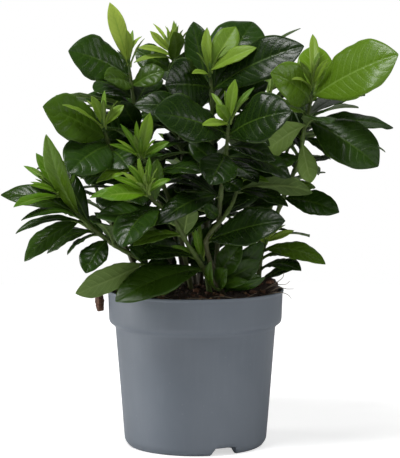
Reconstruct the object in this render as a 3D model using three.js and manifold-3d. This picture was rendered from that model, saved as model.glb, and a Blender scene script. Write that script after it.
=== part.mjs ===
// A gardenia in its nursery pot: a faceted model in millimetres, +Z up, with the middle of the pot's
// foot at the origin and the plant's front towards -Y.
//
// The pot is a lathed shell with a banded rim. The soil fills it and has a plain hole for each stem.
// Each leafy stem is one solid: the wood with its grown leaves. Each young shoot is one more solid,
// seated on the stem that it grows from. A leaf is a thin folded slab with a waved margin. It takes the
// first pose, of a short list of small turns, that is clear of everything grown before it.

import * as THREE from "three";
import { mergeVertices } from "three/addons/utils/BufferGeometryUtils.js";
import Module from "manifold-3d";

const wasm = await Module();
wasm.setup();

// ---------------------------------------------------------------- driving dimensions (mm)

const CLEARANCE = 0.35; // between neighbouring solids

const POT = {
  sides: 36,
  height: 115,
  rimRadius: 65, // outside of the lip
  wall: 1.6,
  lip: { depth: 2.2, edge: 0.6 },
  band: { bottom: 91.5, topRadius: 64.2, bottomRadius: 63.4 },
  step: { bottom: 87.5, radius: 58.9 },
  body: { bottom: 4, radius: 52.4 },
  foot: { radius: 49.5, ring: 3.4, recess: 3.4, padRadius: 12 },
  floor: 7.5,
  notch: { width: 22, top: 6, depth: 9, slope: 4, corner: 1.4, first: -65, count: 3 },
};

const SOIL = {
  rings: 4,
  sectors: 18,
  sideGap: 0.9, // to the pot's wall
  floorGap: 0.4,
  floorInset: 3, // the bottom edge's radius is this much smaller
  edge: 112.5, // height of the surface at the wall
  crown: 3, // rise towards the middle
  roughness: 0.9,
  heap: { at: [53, -10], rise: 10.5, spread: 13 },
};

const CHIPS = { count: 7, size: [8, 4.6, 2.6], turn: 137.5, inner: 14, outer: 54 };

// A strip of bark that lies on the soil and hangs over the lip.
const BARK_STRIP = {
  route: [
    [-51, -6, 115.4], [-59, -6, 117.8], [-66, -6, 119],
    [-70.4, -6, 114], [-71.8, -6, 107], [-71, -6, 99],
  ],
  width: [3, 3.5, 3, 5, 7.5, 6],
  thickness: [1.2, 1.3, 1.5, 3, 5, 4],
  steps: 10,
};

const LEAF = {
  thickness: 0.7,
  stalk: 0.06, // share of the length that is bare stalk
  stalkHalf: 0.95, // half width of the stalk
  stalkThickness: 1.1,
  sunk: 0.8, // how far the root runs past the middle of the stem
  widest: 1.3, // exponent that moves the widest place outwards, past the middle
  fullness: 0.66, // exponent of the outline: smaller is fuller
  fold: 0.2, // rise of each half towards its margin
  droop: 0.16, // fall back of the margin
  ripple: 0.07, // height of the waves along the margin
  waves: 2.3,
  rows: [0.06, 0.4, 0.78], // shares of its length with a row of points
  longRows: [0.06, 0.3, 0.58, 0.84], // the same on a leaf that is longer than long
  long: 74,
  testRows: [0.06, 0.18, 0.34, 0.52, 0.7, 0.86],
};

const FILL_LEAF = { slimness: 0.43, rise: [8, 46], spin: 23 };

const YOUNG = { flatWidth: 12, stemSides: 5, stemRadius: 1.05 };

const WOOD = { sides: 5, foot: 99, baseRadius: 2, tipRadius: 1.15 };

const HAND_POSES = 22; // the leaves of the tables try only the first, smaller turns
// A leaf's margin and faces are kept this far from every other solid while it finds its pose.
const ROOM = 0.5;
// Small turns in degrees, [lift, swing, length share], tried in this order.
const POSES = [
  [0, 0, 1], [6, 0, 1], [-6, 0, 1], [0, 6, 1], [0, -6, 1], [9, 7, 1], [-9, -7, 1], [9, -7, 1], [-9, 7, 1],
  [14, 0, 1], [-14, 0, 1], [0, 14, 1], [0, -14, 1], [14, 12, 0.95], [-14, -12, 0.95], [14, -12, 0.95],
  [-14, 12, 0.95], [0, 0, 0.85], [22, 0, 0.92], [-22, 0, 0.92], [0, 22, 0.92], [0, -22, 0.92],
  [22, 18, 0.9], [-22, -18, 0.9], [22, -18, 0.9], [-22, 18, 0.9], [30, 0, 0.85], [-30, 0, 0.85],
  [0, 30, 0.85], [0, -30, 0.85], [0, 0, 0.7], [38, 0, 0.75], [-38, 0, 0.75], [0, 38, 0.75], [0, -38, 0.75],
];

// Stems. A route runs from the soil up to the cut end, where a young shoot sits.
// A leaf row is: height of its node, tip, full width, where the upper face looks, arch as a share of length.
// A shoot row is the same, with the share along the shoot in place of the height.
// fill is: lowest and highest node, number of leaves, their reach, and the turn of the first pair.
const STEMS = [
  {
    name: "left_low",
    route: [
      [-20, -12, 110], [-36, -30, 137], [-52, -42, 148],
      [-69, -51, 161], [-82, -57, 174], [-92, -62, 186],
    ],
    leaves: [
      [173, [-101, -76, 235], 15, [-0.4, -0.9, 0.2], 0.08],
      [172, [-136, -60, 193], 19, [0, -0.7, 0.7], 0.14],
      [166, [-124, -82, 170], 10, [-0.1, -0.4, 0.9], 0.15],
      [171, [-120, -70, 143], 19, [-0.35, -0.7, 0.6], 0.1],
      [163, [-106, -46, 146], 13, [-0.4, -0.5, 0.7], 0.12],
      [156, [-77, -66, 134], 20, [-0.3, -0.85, 0.45], 0.14],
      [138, [-85, -62, 120], 22, [0, 0.9, 0.4], -0.06],
      [168, [-94, -22, 192], 16, [-0.2, -0.5, 0.8], 0.1],
      [152, [-70, -90, 172], 14, [0, -0.5, 0.9], 0.1],
    ],
    shoot: {
      length: 6,
      leaves: [
        [0.5, [-124, -96, 184], 10, [0, -0.6, 0.8], 0.03],
        [0.95, [-113, -86, 198], 5, [0, -0.8, 0.6], 0.05],
        [0.9, [-106, -88, 203], 4.5, [0.2, -0.8, 0.6], 0.06],
        [0.8, [-97, -80, 209], 4.5, [0.3, -0.9, 0.3], 0.05],
        [0.6, [-89, -74, 210], 4, [0.5, -0.8, 0.2], 0.05],
        [0.3, [-111, -62, 219], 8, [0.2, -1, 0.2], 0.04],
        [0.4, [-121, -56, 214], 4.5, [0.2, -0.9, 0.4], 0.06],
      ],
    },
    fill: [150, 172, 3, 40, 10],
  },
  {
    name: "left_tall",
    route: [[-6, 12, 110], [-14, 6, 150], [-28, -5, 188], [-39, -12, 225], [-44, -17, 250], [-47, -20, 274]],
    leaves: [
      [270, [-89, -45, 290], 35, [0.05, -0.85, 0.55], 0.06],
      [265, [-63, -60, 270], 19, [0.2, -0.85, 0.5], 0.08],
      [264, [-22, -22, 275], 18, [-0.1, -0.85, 0.5], 0.08],
      [255, [-74, 10, 268], 22, [-0.1, -0.8, 0.6], 0.08],
      [248, [-100, -28, 258], 20, [0, 0.1, 1], 0.05],
      [242, [-2, 2, 245], 26, [0.1, -0.8, 0.5], 0.08],
      [230, [-86, 10, 228], 28, [-0.1, -0.75, 0.65], 0.1],
    ],
    shoot: {
      length: 7,
      leaves: [
        [0.85, [-61, -25, 324], 11.5, [0.15, -1, 0.1], 0.03],
        [0.95, [-49, -30, 305], 6.5, [0.6, -0.8, 0], 0.04],
        [0.8, [-41, -12, 302], 5, [-0.7, -0.6, 0.2], 0.1],
      ],
    },
    fill: [162, 238, 6, 56, 20],
  },
  {
    name: "left",
    route: [[-10, 3, 110], [-26, -10, 152], [-47, -35, 193], [-59, -50, 219], [-63, -56, 232]],
    leaves: [
      [228, [-104, -82, 252], 36, [0.1, -0.85, 0.55], 0.06],
      [223, [-84, -97, 211], 34, [0.25, -0.7, 0.7], 0.1],
      [219, [-46, -78, 209], 27, [-0.2, -0.6, 0.75], 0.1],
      [208, [-98, -14, 210], 24, [-0.1, -0.3, 0.9], 0.08],
      [198, [-80, -30, 198], 22, [0, -0.5, 0.85], 0.1],
      [192, [-36, -78, 184], 22, [0, -0.6, 0.8], 0.08],
    ],
    shoot: {
      length: 6,
      leaves: [
        [0.7, [-93, -85, 250], 6.5, [0, -0.6, 0.9], 0.03],
        [0.9, [-72, -66, 258], 6.5, [0.3, -1, 0.2], 0.04],
        [0.9, [-50, -60, 252], 7, [-0.3, -1, 0.3], 0.05],
      ],
    },
    fill: [158, 202, 4, 54, 65],
  },
  {
    name: "middle",
    route: [[3, 8, 110], [7, -3, 152], [11, -15, 189], [12, -26, 226], [12, -34, 252], [11, -39, 269]],
    leaves: [
      [263, [-20, -84, 266], 38, [0.6, -0.75, 0.3], 0.06],
      [261, [76, -58, 293], 33, [0.1, -0.85, 0.6], 0.08],
      [258, [42, -6, 311], 42, [-0.1, -1, 0.3], 0.1],
      [253, [0, -24, 310], 21, [-0.3, -1, 0.15], 0.04],
      [250, [77, 16, 307], 15, [0.25, 0.25, 0.95], 0.06],
      [242, [-44, -40, 252], 24, [0, -0.75, 0.65], 0.08],
      [228, [52, -66, 224], 20, [0.1, -0.6, 0.8], 0.1],
      [208, [44, -64, 198], 22, [0.1, -0.5, 0.85], 0.1],
      [203, [-27, -60, 193], 22, [-0.1, -0.4, 0.9], 0.08],
      [214, [-10, -64, 209], 12, [0, -0.8, 0.6], 0.1],
    ],
    shoot: {
      length: 8,
      leaves: [
        [0.6, [8, -41, 306], 7.5, [-0.5, -0.9, 0], 0.03],
        [0.9, [29, -32, 307], 17, [-0.2, -1, 0.1], 0.05],
        [0.8, [43, -51, 292], 11.5, [-0.2, -0.8, 0.6], 0.06],
        [0.3, [-8, -70, 272], 6, [0.3, -0.5, 0.8], 0.05],
      ],
    },
    fill: [160, 238, 7, 56, 75],
  },
  {
    name: "front",
    route: [[15, -18, 110], [16, -35, 155], [18, -50, 188], [21, -68, 214], [22, -76, 225], [23, -80, 236]],
    leaves: [
      [232, [-27, -112, 248], 38, [-0.1, -0.8, 0.6], 0.06],
      [231, [65, -108, 249], 38, [0.1, -0.85, 0.5], 0.08],
      [223, [56, -78, 214], 18, [0.3, -0.7, 0.7], 0.12],
      [216, [68, -66, 202], 24, [0.1, -0.55, 0.85], 0.1],
      [218, [10, -104, 199], 26, [0, -1, 0.25], 0.1],
      [199, [32, -66, 194], 16, [0, -0.6, 0.8], 0.1],
      [188, [-30, -82, 174], 20, [0, -0.6, 0.8], 0.1],
      [172, [8, -64, 184], 9, [0, -1, 0.3], 0.06],
    ],
    shoot: {
      length: 6,
      leaves: [
        [0.9, [27, -85, 270], 7.5, [-0.4, -1, 0], 0.03],
        [0.8, [18, -90, 255], 8, [0.3, -1, 0.2], 0.06],
        [0.5, [6, -98, 241], 6.5, [0.1, -0.8, 0.6], 0.06],
        [0.9, [11, -70, 261], 4, [0.3, -1, 0.3], 0.04],
        [0.9, [21, -74, 269], 3.5, [0, -1, 0.2], 0.04],
        [0.8, [39, -70, 264], 4, [-0.4, -1, 0.3], 0.04],
      ],
    },
    fill: [152, 192, 3, 50, 40],
  },
  {
    name: "right",
    route: [
      [46, 2, 110], [48, 0, 139], [55, -6, 159], [63, -14, 181], [69, -20, 197],
      [75, -28, 214], [77, -36, 230], [80, -42, 245], [82, -46, 258],
    ],
    leaves: [
      [256, [140, -77, 287], 43, [-0.15, -0.85, 0.55], 0.08],
      [253, [47, -76, 279], 30, [0.1, -0.9, 0.45], 0.1],
      [244, [54, -90, 258], 18, [0.2, -0.6, 0.8], 0.06],
      [250, [87, -18, 294], 26, [0.1, -0.9, 0.4], 0.06],
      [243, [124, 16, 259], 24, [0, -0.15, 1], 0.06],
      [237, [146, 8, 234], 22, [0, -0.6, 0.8], 0.06],
      [241, [128, -66, 209], 35, [0.3, -0.95, 0.35], 0.08],
      [232, [140, 4, 216], 15, [0.1, -0.3, 0.95], 0.08],
      [238, [50, -58, 219], 24, [-0.4, 0.75, 0.4], 0.08],
      [228, [104, -44, 211], 13, [0.1, -0.5, 0.85], 0.1],
      [224, [82, -48, 196], 14, [0.1, 1, 0.25], 0.05],
      [214, [49, -48, 210], 22, [0, -0.4, 0.9], 0.08],
      [183, [103, -38, 175], 20, [0.1, -0.8, 0.55], 0.1],
      [187, [88, -8, 191], 12, [0, -0.6, 0.8], 0.14],
      [178, [40, 2, 177], 20, [0, -0.55, 0.8], 0.08],
      [144, [94, -31, 137], 17, [0.1, -0.7, 0.7], 0.14],
      [130, [76, -35, 133], 15, [0.1, -0.6, 0.8], 0.1],
      [138, [79, -20, 141], 9, [0.1, -0.5, 0.9], 0.1],
    ],
    shoot: {
      length: 7,
      leaves: [
        [0.9, [84, -26, 302], 6.5, [0.1, -1, 0.3], 0.08],
        [0.5, [45, -80, 264], 5, [0.1, -0.6, 0.8], 0.06],
        [0.9, [92, -60, 284], 5, [-0.4, -0.9, 0.2], 0.05],
        [0.8, [74, -52, 282], 4.5, [0.3, -1, 0.2], 0.05],
      ],
    },
    fill: [198, 242, 4, 54, 30],
  },
  {
    name: "front_left",
    route: [
      [11, -24, 110], [8, -28, 128], [4, -36, 137], [-4, -46, 150],
      [-12, -57, 166], [-19, -68, 177], [-27, -78, 184], [-31, -84, 189],
    ],
    leaves: [
      [182, [-50, -110, 157], 30, [-0.5, -0.75, 0.4], 0.12],
      [185, [-26, -80, 215], 10, [0.2, -1, 0.2], 0.04],
      [177, [-68, -86, 176], 20, [0, -0.7, 0.7], 0.03],
      [158, [-4, -60, 183], 15, [0, 1, 0.2], 0.08],
      [160, [-44, -66, 154], 12, [-0.1, -0.6, 0.8], 0.1],
      [133, [-56, -71, 115], 30, [-0.3, -0.75, 0.65], 0.1],
      [143, [-40, -62, 144], 14, [0, -0.5, 0.9], 0.1],
    ],
    shoot: {
      length: 5,
      leaves: [
        [0.7, [-64, -105, 191], 13, [0, -0.8, 0.6], 0.06],
        [0.9, [-56, -100, 204], 4.5, [0.1, -0.8, 0.6], 0.04],
        [0.95, [-50, -96, 209], 4, [0.2, -0.8, 0.6], 0.04],
        [0.9, [-43, -92, 215], 4, [0.2, -1, 0.4], 0.04],
        [0.85, [-37, -88, 217], 4, [0.3, -1, 0.3], 0.04],
        [0.8, [-20, -84, 208], 5, [-0.4, -0.9, 0.2], 0.1],
        [0.3, [-71, -96, 196], 7, [0, -0.7, 0.7], 0.12],
      ],
    },
    fill: [152, 174, 2, 40, 60],
  },
  {
    name: "inner_twig",
    route: [[-2, -10, 110], [-10, -22, 152], [-20, -42, 188], [-30, -62, 207], [-35, -69, 213]],
    leaves: [
      [207, [-68, -82, 209], 13, [0, -0.35, 0.95], 0.1],
      [204, [4, -84, 206], 16, [0.2, -0.6, 0.8], 0.08],
      [194, [-62, -60, 198], 16, [0, -0.4, 0.9], 0.08],
      [182, [18, -58, 182], 18, [0, -0.5, 0.9], 0.08],
    ],
    shoot: {
      length: 5,
      leaves: [
        [0.9, [-31, -81, 247], 8.5, [0.1, -1, 0.3], 0.05],
        [0.85, [-18, -76, 227], 6, [-0.4, -0.9, 0.4], 0.06],
        [0.9, [-50, -80, 239], 4, [0.3, -1, 0.3], 0.03],
        [0.9, [-43, -77, 242], 4, [0.2, -1, 0.2], 0.03],
        [0.7, [-58, -90, 226], 4, [0.2, -0.8, 0.6], 0.03],
      ],
    },
    fill: [152, 188, 3, 44, 100],
  },
  {
    name: "back_tall",
    route: [[0, 19, 110], [-5, 18, 164], [-10, 13, 216], [-14, 11, 253], [-16, 10, 281]],
    leaves: [
      [275, [-44, 12, 291], 21, [0, -0.85, 0.5], 0.05],
      [266, [24, 22, 286], 24, [0.1, 0.4, 0.9], 0.1],
      [260, [-30, 62, 278], 26, [-0.1, 0.7, 0.7], 0.08],
      [252, [14, 66, 264], 28, [0.1, 0.7, 0.7], 0.08],
    ],
    shoot: {
      length: 7,
      leaves: [
        [0.9, [-33, 5, 304], 5.5, [0.3, -1, 0.2], 0.04],
        [0.95, [-25, 8, 307], 5, [0.2, -1, 0.1], 0.04],
        [0.9, [-12, 9, 306], 6, [-0.3, -1, 0.1], 0.04],
        [0.9, [-31, 20, 310], 3.5, [0.5, -0.6, 0.2], 0.03],
        [0.95, [-20, 21, 311], 3.5, [0.1, -1, 0.1], 0.03],
        [0.4, [-45, -2, 281], 5, [0, -0.6, 0.8], 0.1],
        [0.5, [-42, 2, 295], 5, [0, -0.8, 0.6], 0.1],
      ],
    },
    fill: [178, 254, 7, 58, 15],
  },
  {
    name: "centre_low",
    route: [[22, -32, 110], [12, -42, 136], [8, -52, 156], [18, -46, 169], [26, -40, 180], [31, -36, 194]],
    leaves: [
      [155, [62, -80, 173], 30, [-0.1, -0.8, 0.65], 0.06],
      [190, [66, -50, 180], 16, [0.1, -0.5, 0.9], 0.1],
      [191, [84, -52, 190], 14, [0.1, 0.8, 0.3], 0.14],
      [128, [33, -56, 154], 18, [-0.2, -0.9, 0.3], 0.12],
      [124, [43, -50, 142], 16, [0.5, -0.8, 0.2], 0.14],
      [122, [22, -62, 136], 14, [-0.4, -0.9, 0.2], 0.14],
    ],
    shoot: {
      length: 5,
      leaves: [
        [0.9, [40, -50, 216], 6, [0, -1, 0.3], 0.05],
        [0.9, [22, -30, 218], 5, [0.3, -1, 0.3], 0.05],
        [0.5, [52, -52, 198], 5, [0, -0.7, 0.7], 0.08],
      ],
    },
    fill: [162, 188, 1, 36, 50],
  },
  {
    name: "back_left",
    route: [[-16, 24, 110], [-30, 38, 152], [-46, 50, 192], [-54, 56, 226], [-56, 60, 242]],
    leaves: [
      [238, [-92, 84, 252], 28, [-0.3, 0.5, 0.8], 0.1],
      [236, [-30, 104, 256], 30, [0.1, 0.7, 0.7], 0.08],
      [230, [-96, 42, 242], 26, [-0.4, -0.1, 0.9], 0.1],
    ],
    shoot: {
      length: 7,
      leaves: [
        [0.9, [-60, 66, 282], 10, [0, 1, 0.1], 0.04],
        [0.9, [-76, 72, 268], 7, [0.3, 0.8, 0.4], 0.05],
        [0.8, [-38, 76, 266], 7, [-0.3, 0.8, 0.5], 0.05],
        [0.6, [-54, 88, 258], 6, [0, 0.6, 0.8], 0.06],
      ],
    },
    fill: [142, 228, 8, 60, 35],
  },
  {
    name: "back_right",
    route: [[20, 26, 110], [32, 40, 152], [46, 54, 194], [54, 60, 232], [56, 64, 252]],
    leaves: [
      [248, [96, 82, 268], 30, [0.3, 0.5, 0.8], 0.1],
      [245, [26, 106, 264], 30, [-0.1, 0.7, 0.7], 0.08],
      [240, [100, 40, 252], 26, [0.3, 0, 0.9], 0.1],
      [236, [20, 40, 254], 26, [-0.2, 0.1, 0.95], 0.08],
    ],
    shoot: {
      length: 7,
      leaves: [
        [0.9, [62, 70, 294], 11, [0, 1, 0.1], 0.04],
        [0.9, [78, 78, 276], 7.5, [-0.3, 0.8, 0.4], 0.05],
        [0.8, [38, 80, 278], 7, [0.3, 0.8, 0.5], 0.05],
        [0.6, [56, 94, 266], 6, [0, 0.6, 0.8], 0.06],
      ],
    },
    fill: [142, 236, 9, 60, 5],
  },
  {
    name: "back_low",
    route: [[2, 38, 110], [3, 58, 148], [-2, 76, 180], [-6, 84, 202]],
    leaves: [
      [198, [-40, 116, 208], 28, [-0.2, 0.7, 0.7], 0.1],
      [196, [36, 118, 206], 28, [0.2, 0.7, 0.7], 0.1],
      [188, [-4, 136, 178], 28, [0, 0.8, 0.6], 0.12],
    ],
    shoot: {
      length: 6,
      leaves: [
        [0.9, [-10, 92, 240], 10, [0, 1, 0.2], 0.04],
        [0.9, [-28, 100, 228], 6.5, [0.3, 0.8, 0.5], 0.05],
        [0.8, [14, 102, 226], 6.5, [-0.3, 0.8, 0.5], 0.05],
      ],
    },
    fill: [128, 192, 8, 54, 70],
  },
  {
    name: "side_left",
    route: [[-34, 10, 110], [-52, 16, 144], [-68, 22, 172], [-76, 26, 194]],
    leaves: [
      [190, [-120, 44, 202], 26, [-0.5, 0.2, 0.8], 0.1],
      [182, [-112, 8, 180], 24, [-0.5, -0.1, 0.8], 0.12],
    ],
    shoot: {
      length: 5,
      leaves: [
        [0.9, [-86, 32, 228], 9, [-1, 0.2, 0.2], 0.04],
        [0.8, [-98, 44, 214], 6, [-0.5, 0.4, 0.8], 0.05],
      ],
    },
    fill: [130, 184, 6, 50, 20],
  },
  {
    name: "side_right",
    route: [[38, 22, 110], [50, 30, 152], [64, 36, 197], [74, 40, 234]],
    leaves: [
      [230, [124, 56, 248], 30, [0.4, 0.2, 0.85], 0.1],
      [224, [80, 96, 238], 28, [0.3, 0.7, 0.7], 0.1],
      [218, [112, 14, 228], 26, [0.4, -0.1, 0.9], 0.1],
    ],
    shoot: {
      length: 5,
      leaves: [
        [0.9, [74, 54, 268], 7, [0.3, 1, 0.2], 0.04],
        [0.8, [98, 56, 256], 6, [0.5, 0.4, 0.8], 0.05],
      ],
    },
    fill: [140, 224, 7, 50, 45],
  },
];

// Side shoots: the stem and height that they sit at, their way out, length and leaves.
const SIDE_SHOOTS = [
  {
    name: "right_side",
    stem: "right",
    height: 148,
    out: [0.2, -0.7, 0.7],
    length: 5,
    leaves: [
      [0.9, [56, -22, 165], 5.5, [0.2, -1, 0.2], 0.05],
      [0.9, [68, -22, 161], 5, [-0.3, -0.9, 0.3], 0.05],
      [0.6, [40, -24, 158], 4.5, [0.3, -0.9, 0.4], 0.05],
    ],
  },
  {
    name: "front_left_side",
    stem: "front_left",
    height: 135,
    out: [-0.3, -0.5, 0.8],
    length: 5,
    leaves: [
      [0.9, [0, -46, 163], 5, [0, -1, 0.2], 0.04],
      [0.9, [8, -44, 160], 4.5, [-0.2, -1, 0.2], 0.04],
      [0.5, [-12, -52, 154], 5, [0.1, -0.9, 0.4], 0.06],
    ],
  },
];

// ---------------------------------------------------------------- small helpers

const vec = (p) => new THREE.Vector3(...p);
const radians = THREE.MathUtils.degToRad;
const lerp = THREE.MathUtils.lerp;

// A repeatable draw between 0 and 1 for a whole number and a series.
function draw(index, series) {
  const value = Math.sin(index * 12.9898 + series * 78.233) * 43758.5453;
  return value - Math.floor(value);
}

// The value at a share of the way along a list, straight between its entries.
function valueAt(list, share) {
  const place = share * (list.length - 1);
  const low = Math.min(Math.floor(place), list.length - 2);
  return lerp(list[low], list[low + 1], place - low);
}

function toSolid(points, triangles) {
  const vertProperties = new Float32Array(points.flatMap((p) => [p.x, p.y, p.z]));
  const triVerts = new Uint32Array(triangles.flat());
  return new wasm.Manifold(new wasm.Mesh({ numProp: 3, vertProperties, triVerts }));
}

function geometryToSolid(geometry) {
  geometry.deleteAttribute("normal");
  geometry.deleteAttribute("uv");
  const merged = mergeVertices(geometry, 1e-4);
  const vertProperties = new Float32Array(merged.attributes.position.array);
  const triVerts = new Uint32Array(merged.index.array);
  return new wasm.Manifold(new wasm.Mesh({ numProp: 3, vertProperties, triVerts }));
}

function toMesh(solid, name, material) {
  const mesh = solid.getMesh();
  const geometry = new THREE.BufferGeometry();
  geometry.setAttribute("position", new THREE.BufferAttribute(mesh.vertProperties, 3));
  geometry.setIndex(new THREE.BufferAttribute(mesh.triVerts, 1));
  geometry.computeVertexNormals();
  const result = new THREE.Mesh(geometry, material);
  result.name = name;
  return result;
}

// A closed solid between two grids of points of the same size, split into triangles alike on both faces.
// Rows run forwards and columns to the side, and side cross forwards is the way that the top looks.
// Each end is closed flat, or runs to a point where one is given.
function slab(top, bottom, root = null, tip = null) {
  const rows = top.length;
  const columns = top[0].length;
  const points = [...top.flat(), ...bottom.flat()];
  const under = rows * columns;
  const at = (row, column) => row * columns + column;
  const triangles = [];
  const quad = (a, b, c, d) => triangles.push([a, b, c], [a, c, d]);
  for (let row = 0; row < rows - 1; row++) {
    for (let column = 0; column < columns - 1; column++) {
      const [a, b] = [at(row, column), at(row, column + 1)];
      const [c, d] = [at(row + 1, column + 1), at(row + 1, column)];
      quad(a, b, c, d);
      triangles.push([a + under, c + under, b + under], [a + under, d + under, c + under]);
    }
    const [left, leftNext] = [at(row, 0), at(row + 1, 0)];
    const [right, rightNext] = [at(row, columns - 1), at(row + 1, columns - 1)];
    quad(left, leftNext, leftNext + under, left + under);
    quad(right, right + under, rightNext + under, rightNext);
  }
  const closeEnd = (row, point) => {
    const across = top[0].map((_, column) => at(row, column));
    const loop = [...across, ...across.map((index) => index + under).reverse()];
    const ring = row === 0 ? loop.reverse() : loop;
    if (point) points.push(point);
    const first = point ? points.length - 1 : ring[0];
    ring.forEach((index, k) => {
      const next = ring[(k + 1) % ring.length];
      if (index !== first && next !== first) triangles.push([first, index, next]);
    });
  };
  closeEnd(0, root);
  closeEnd(rows - 1, tip);
  return toSolid(points, triangles);
}

// A closed tube along a list of points with a radius for each.
function tube(centres, radii, sides) {
  const points = [];
  const triangles = [];
  let side = new THREE.Vector3(1, 0, 0);
  centres.forEach((centre, i) => {
    const before = centres[Math.max(i - 1, 0)];
    const after = centres[Math.min(i + 1, centres.length - 1)];
    const along = after.clone().sub(before).normalize();
    side = side.clone().addScaledVector(along, -side.dot(along)).normalize();
    const up = along.clone().cross(side);
    for (let k = 0; k < sides; k++) {
      const angle = (2 * Math.PI * k) / sides;
      const spoke = side.clone().multiplyScalar(Math.cos(angle)).addScaledVector(up, Math.sin(angle));
      points.push(centre.clone().addScaledVector(spoke, radii[i]));
    }
  });
  for (let i = 0; i < centres.length - 1; i++) {
    for (let k = 0; k < sides; k++) {
      const [a, b] = [i * sides + k, i * sides + ((k + 1) % sides)];
      triangles.push([a, b, b + sides], [a, b + sides, a + sides]);
    }
  }
  const last = (centres.length - 1) * sides;
  for (let k = 1; k < sides - 1; k++) {
    triangles.push([0, k + 1, k], [last, last + k, last + k + 1]);
  }
  return toSolid(points, triangles);
}

// ---------------------------------------------------------------- pot

function potProfile() {
  const { lip, band, step, body, foot } = POT;
  const inner = (radius) => radius - POT.wall;
  const lipBottom = POT.height - lip.depth;
  return [
    [0, 0],
    [foot.padRadius, 0],
    [foot.padRadius + 1, foot.recess],
    [foot.radius - foot.ring - 1, foot.recess],
    [foot.radius - foot.ring, 0],
    [foot.radius, 0],
    [body.radius, body.bottom],
    [step.radius, step.bottom],
    [band.bottomRadius, band.bottom],
    [band.topRadius, lipBottom],
    [POT.rimRadius, POT.height - lip.edge],
    [POT.rimRadius - lip.edge, POT.height],
    [inner(POT.rimRadius), POT.height],
    [inner(band.bottomRadius), band.bottom + 1],
    [inner(step.radius), step.bottom + 1],
    [inner(body.radius), POT.floor],
    [0, POT.floor],
  ];
}

// A wedge that cuts one drain notch into the foot, with sloping ends.
function notchCutter(angle) {
  const { width, top, depth, slope, corner } = POT.notch;
  const side = width / 2 - slope;
  const outline = new THREE.Shape();
  outline.moveTo(-width / 2, -1);
  outline.lineTo(width / 2, -1);
  outline.lineTo(side, top - 1);
  outline.lineTo(side - corner, top);
  outline.lineTo(-side + corner, top);
  outline.lineTo(-side, top - 1);
  const cutter = new THREE.ExtrudeGeometry(outline, { depth: 2 * depth, bevelEnabled: false });
  cutter.rotateX(Math.PI / 2);
  cutter.rotateZ(Math.PI / 2);
  cutter.translate(POT.foot.radius + 3 - depth, 0, 0);
  cutter.rotateZ(radians(angle));
  return geometryToSolid(cutter);
}

function makePot() {
  const profile = potProfile().map(([radius, z]) => new THREE.Vector2(radius, z));
  const shell = new THREE.LatheGeometry(profile, POT.sides);
  shell.rotateX(Math.PI / 2);
  let pot = geometryToSolid(shell);
  for (let i = 0; i < POT.notch.count; i++) {
    pot = pot.subtract(notchCutter(POT.notch.first + (360 * i) / POT.notch.count));
  }
  return pot;
}

// ---------------------------------------------------------------- soil

function soilHeight(x, y) {
  const { edge, crown, roughness, heap } = SOIL;
  const out = Math.hypot(x, y) / POT.rimRadius;
  const away = Math.hypot(x - heap.at[0], y - heap.at[1]) / heap.spread;
  const bumps = Math.sin(x * 0.31 + 1) * Math.cos(y * 0.27) + 0.6 * Math.sin(x * 0.7 - y * 0.55);
  return edge + crown * (1 - out * out) + heap.rise * Math.exp(-away * away) + roughness * bumps;
}

// Radius of the soil inside a part of the pot that has this outer radius.
const soilRadius = (potRadius) => potRadius - POT.wall - SOIL.sideGap;

function makeSoilBody() {
  const { rings, sectors, floorGap, floorInset } = SOIL;
  const { body, step, band } = POT;
  const points = [];
  const triangles = [];
  const floor = POT.floor + floorGap;
  const levels = [
    [floor, soilRadius(body.radius) - floorInset],
    [step.bottom + 1, soilRadius(step.radius)],
    [band.bottom + 3, soilRadius(band.bottomRadius)],
  ];
  const ringStart = (ring) => 1 + ring * sectors;
  points.push(new THREE.Vector3(0, 0, floor));
  for (const [z, radius] of levels) {
    for (let k = 0; k < sectors; k++) {
      const angle = (2 * Math.PI * k) / sectors;
      points.push(new THREE.Vector3(radius * Math.cos(angle), radius * Math.sin(angle), z));
    }
  }
  for (let ring = 0; ring < rings; ring++) {
    const radius = (soilRadius(band.bottomRadius) * (rings - ring)) / rings;
    for (let k = 0; k < sectors; k++) {
      const angle = (2 * Math.PI * (k + 0.5 * ring)) / sectors;
      const [x, y] = [radius * Math.cos(angle), radius * Math.sin(angle)];
      points.push(new THREE.Vector3(x, y, soilHeight(x, y)));
    }
  }
  points.push(new THREE.Vector3(0, 0, soilHeight(0, 0)));
  const ringCount = levels.length + rings;
  for (let k = 0; k < sectors; k++) {
    const next = (k + 1) % sectors;
    triangles.push([0, ringStart(0) + next, ringStart(0) + k]);
    for (let ring = 0; ring < ringCount - 1; ring++) {
      const [low, high] = [ringStart(ring), ringStart(ring + 1)];
      triangles.push([low + k, low + next, high + k], [low + next, high + next, high + k]);
    }
    const last = ringStart(ringCount - 1);
    triangles.push([last + k, last + next, points.length - 1]);
  }
  return toSolid(points, triangles);
}

// One bark chip, sunk by a third into the surface.
function makeChip(index) {
  const [length, width, height] = CHIPS.size;
  const share = (index + 0.5) / CHIPS.count;
  const radius = lerp(CHIPS.inner, CHIPS.outer, Math.sqrt(share));
  const angle = radians(CHIPS.turn * index);
  const [x, y] = [radius * Math.cos(angle), radius * Math.sin(angle)];
  const size = lerp(0.7, 1.15, draw(index, 1));
  const chip = new THREE.BoxGeometry(length * size, width * size, height * size);
  chip.rotateX(radians(lerp(-22, 22, draw(index, 2))));
  chip.rotateY(radians(lerp(-16, 16, draw(index, 3))));
  chip.rotateZ(radians(360 * draw(index, 4)));
  chip.translate(x, y, soilHeight(x, y) + height * size * 0.16);
  return geometryToSolid(chip);
}

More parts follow.
